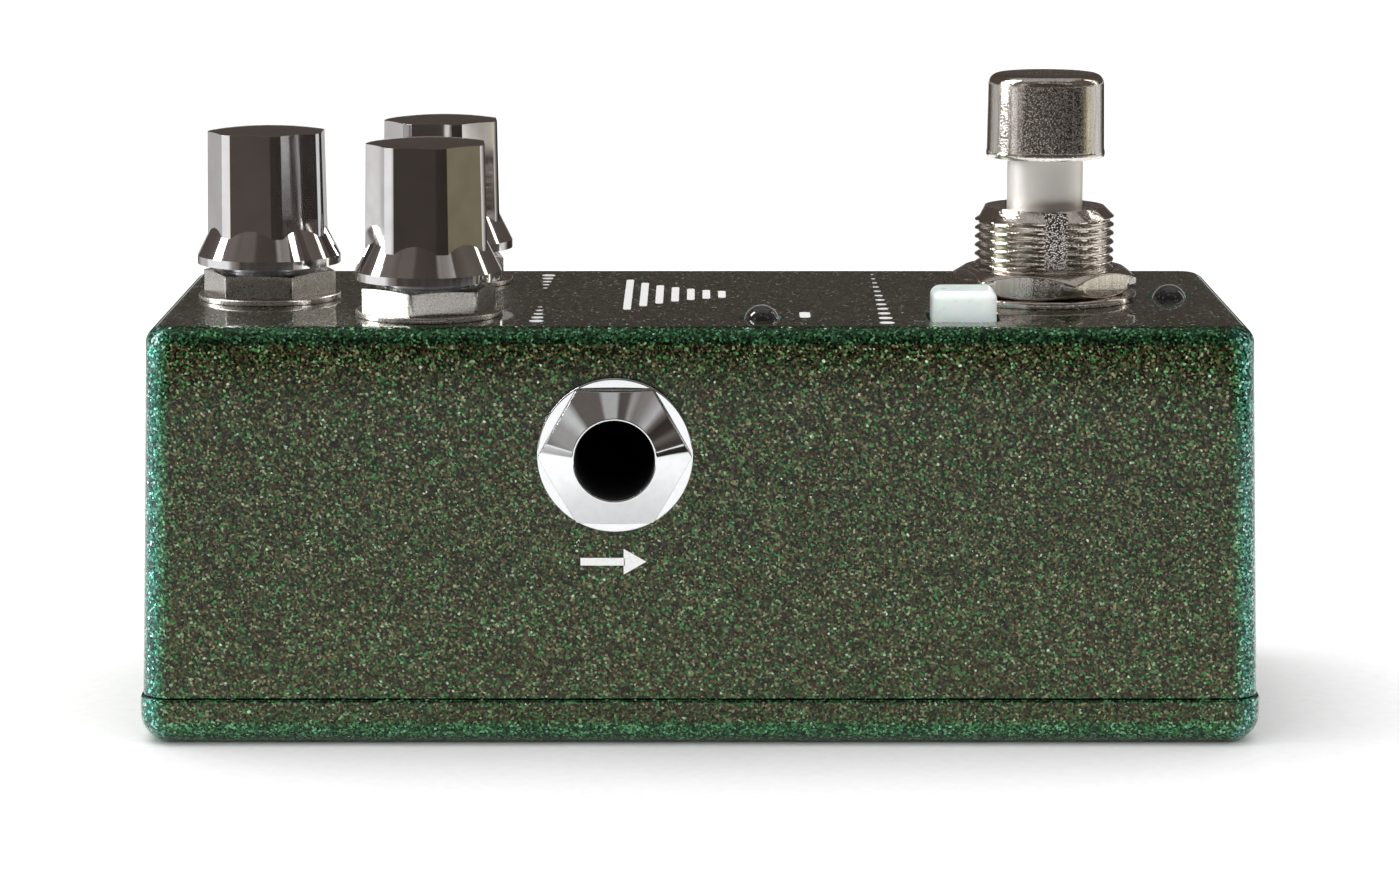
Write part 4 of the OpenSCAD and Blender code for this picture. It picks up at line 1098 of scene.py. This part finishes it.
# %% [markdown]
# ## Studio
# The pedal stands on a white table in a tent with soft light from all round and a little more from
# above. A tall bright strip on the left and a weaker, warmer one on the right give the highlights of
# the metal and of the flakes in the paint. Chrome shows what stands round it, so it matters
# what the tent holds. A dome that only reflections can see is dim, and a sheet on the table is dim too
# towards the camera and the far end, and pale at both sides. Both are painted by bearing, the angle
# round the pedal from its front. Without them the chrome would turn flat white and the paint would
# lose its depth. A ring of the dome, above the camera, is striped like the beams and lamps of a room:
# the upper half of the jack nut's cone sees that ring, which gives it its rays of light and dark.

# %% Floor
TABLE_Y = 3.2
bpy.ops.mesh.primitive_plane_add(size=8.0, location=(0, TABLE_Y, 0))
floor = bpy.context.object
floor.name = "floor"
# The table fades to pure white between these two distances from the pedal.
WHITE_START, WHITE_END = 0.45, 1.35
shader, spot = finish("table_top", specular_ior_level=0.2, emission_strength=0.16)
grain = spot.noise(900.0, 4.0)
away = spot.vector("DISTANCE", {1: (0, -TABLE_Y, 0)}, "Value")
wire_up(
    shader,
    base_color=grain.between((0.93, 0.93, 0.93), (0.97, 0.97, 0.97)),
    roughness=0.6 + 0.2 * grain,
    emission_color=((away - WHITE_START) / (WHITE_END - WHITE_START)).clamp(),
)
floor.data.materials.append(finishes["table_top"])


# %% What the chrome sees
def glow_finish(name):
    """A plain glow, and the place on it."""
    return finish(name, base_color=(0, 0, 0, 1), specular_ior_level=0.0, emission_strength=1.0)


def grey(value):
    """A grey that leans to brown where it is dim, as the corners of a room do."""
    lean = 0.28 * (1 - value) ** 4
    return (value * (1 + lean), value, value * (1 - 0.6 * lean))


def by_angle(across, towards, turn, stops):
    """Colours by an angle in degrees about the middle of a turn. A plain number is a grey."""
    share = 0.5 + across.math("ARCTAN2", across, towards) / math.radians(turn)
    colours = [tone if isinstance(tone, tuple) else grey(tone) for angle, tone in stops]
    return share.ramp([(0.5 + angle / turn, colour) for (angle, tone), colour in zip(stops, colours)])


def by_bearing(spot, stops):
    """Colours by the bearing round the pedal: left -90, front 0, right 90."""
    return by_angle(spot.along(0), 0.0 - spot.along(1), 360, stops)


TENT_R, TENT_FOOT = 2.4, 0.06
glow, spot = glow_finish("tent_dome")
DOME = [
    (-180, 0.060), (-120, 0.080), (-70, 0.150), (-45, 0.060), (45, 0.045),
    (80, 0.110), (120, 0.080), (180, 0.060),
]
plain_dome = by_bearing(spot, DOME)
# Stripes by the angle from straight up, round the line that runs to the front.
STRIPES = [
    (-90, 0.36), (-68, 0.36), (-57, 0.62), (-52, 0.58), (-45, 0.12), (-18, 0.12),
    (-14, 0.44), (1, 0.46), (5, 0.08), (14, 0.09), (19, 0.36), (26, 0.20),
    (35, 0.24), (48, 0.52), (55, 0.13), (61, 0.03), (70, 0.04), (76, 0.13),
    (84, 0.05),
]
stripes = by_angle(spot.along(0), spot.along(2), 180, STRIPES)
# The cone of the nut sees a ring of the dome, between these two cosines of the angle from the front.
RING = (0.42, 0.66)
RING_SOFT = 0.03
forward = spot.along(1) / -TENT_R
ring = ((forward - RING[0]) / RING_SOFT).clamp() * ((RING[1] - forward) / RING_SOFT).clamp()
wire_up(glow, emission_color=ring.tint(plain_dome, stripes))

glow, spot = glow_finish("table_sheet")
SHEET = [
    (-180, 0.45), (-174, 0.45), (-166, 0.04), (-152, 0.06), (-138, 0.34),
    (-126, 0.55), (-112, 0.50), (-106, 0.92), (-68, 0.92), (-60, 0.28), (-50, 0.14),
    (-46, 0.05), (-38, 0.05), (-36, 0.07), (-34, 0.07), (-32, 0.045), (-10, 0.035),
    (40, 0.024), (72, 0.020), (76, (0.16, 0.14, 0.09)), (82, (0.20, 0.18, 0.12)),
    (86, (0.66, 0.61, 0.42)), (92, (0.74, 0.71, 0.58)), (98, 0.62), (126, 0.72),
    (136, 0.20), (142, 0.03), (166, 0.03), (174, 0.45), (180, 0.45),
]
# The sheet has a hole round the pedal, with a soft edge.
SHEET_HOLE, SHEET_EDGE = 0.21, 0.045
reach = spot.vector("LENGTH", out="Value")
alpha = ((reach - SHEET_HOLE) / SHEET_EDGE).clamp()
wire_up(glow, emission_color=by_bearing(spot, SHEET), alpha=alpha)


def only_in_reflections(made):
    """A backdrop that neither the camera nor the table sees, in the finish of its own name."""
    object_mode()
    made.data.materials.append(finishes[made.name])
    for rays in ("camera", "diffuse", "transmission", "shadow"):
        setattr(made, "visible_" + rays, False)


dome = add("tent_dome", bpy.ops.mesh.primitive_uv_sphere_add, segments=96, ring_count=48, radius=TENT_R)
bpy.ops.mesh.select_all(action="SELECT")
bpy.ops.mesh.bisect(plane_co=(0, 0, TENT_FOOT), plane_no=(0, 0, 1), clear_inner=True)
only_in_reflections(dome)
circle = {"vertices": 64, "radius": TENT_R, "fill_type": "NGON"}
sheet = add("table_sheet", bpy.ops.mesh.primitive_circle_add, location=(0, 0, 0.002), **circle)
only_in_reflections(sheet)
print("tent of", TENT_R, "m")


# %% Panels of light
def panel_light(name, at, aim, size, radiance, colour):
    """A rectangular lamp that looks at a point, set by how bright its face is."""
    data = bpy.data.lights.new(name, "AREA")
    data.shape = "RECTANGLE"
    data.size, data.size_y = size
    data.energy = radiance * math.pi * size[0] * size[1]
    data.color = colour
    lamp = bpy.data.objects.new(name, data)
    lamp.location = at
    lamp.rotation_euler = (Vector(aim) - Vector(at)).to_track_quat("-Z", "Y").to_euler()
    lamp.visible_camera = False
    bpy.context.scene.collection.objects.link(lamp)
    return lamp


strips = [
    panel_light("strip_left", (-0.66, 0.06, 0.40), (0, 0, 0.04), (0.18, 0.8), 13.0, (1.0, 1.0, 1.0)),
    panel_light("strip_right", (0.66, 0.30, 0.34), (0, 0, 0.04), (0.08, 0.6), 2.5, (1.0, 0.96, 0.88)),
]
for lamp in strips:
    lamp.visible_diffuse = False
panel_light("panel_above", (0.0, 0.1, 0.9), (0, 0, 0), (1.2, 0.8), 0.3, (1.0, 1.0, 1.0))
soft = [
    panel_light("soft_key", (-0.30, 0.05, 0.9), (0, 0, 0), (0.6, 0.6), 2.7, (1.0, 1.0, 1.0)),
    panel_light("soft_fill", (0.0, -0.9, 0.7), (0, -0.35, 0), (0.9, 0.4), 0.3, (1.0, 1.0, 1.0)),
]
for lamp in soft:
    lamp.visible_glossy = False
print(len(strips), "strips for highlights and", len(soft), "soft lamps for the table")

# %% World and camera
world = bpy.data.worlds.new("studio")
world.use_nodes = True
world.node_tree.nodes["Background"].inputs["Color"].default_value = (1, 1, 1, 1)
world.node_tree.nodes["Background"].inputs["Strength"].default_value = 1.0
bpy.context.scene.world = world

camera_data = bpy.data.cameras.new("camera")
camera_data.lens = 105.8
camera_data.sensor_width = 36.0
camera_data.clip_start = 0.01
camera = bpy.data.objects.new("camera", camera_data)
camera.location = (0.0, -0.353, 0.0839)
camera.rotation_euler = (math.radians(90 - 9.81), 0, 0)
bpy.context.scene.collection.objects.link(camera)
bpy.context.scene.camera = camera
bpy.context.scene.view_settings.view_transform = "Standard"
print("camera at", [round(value, 4) for value in camera.location])
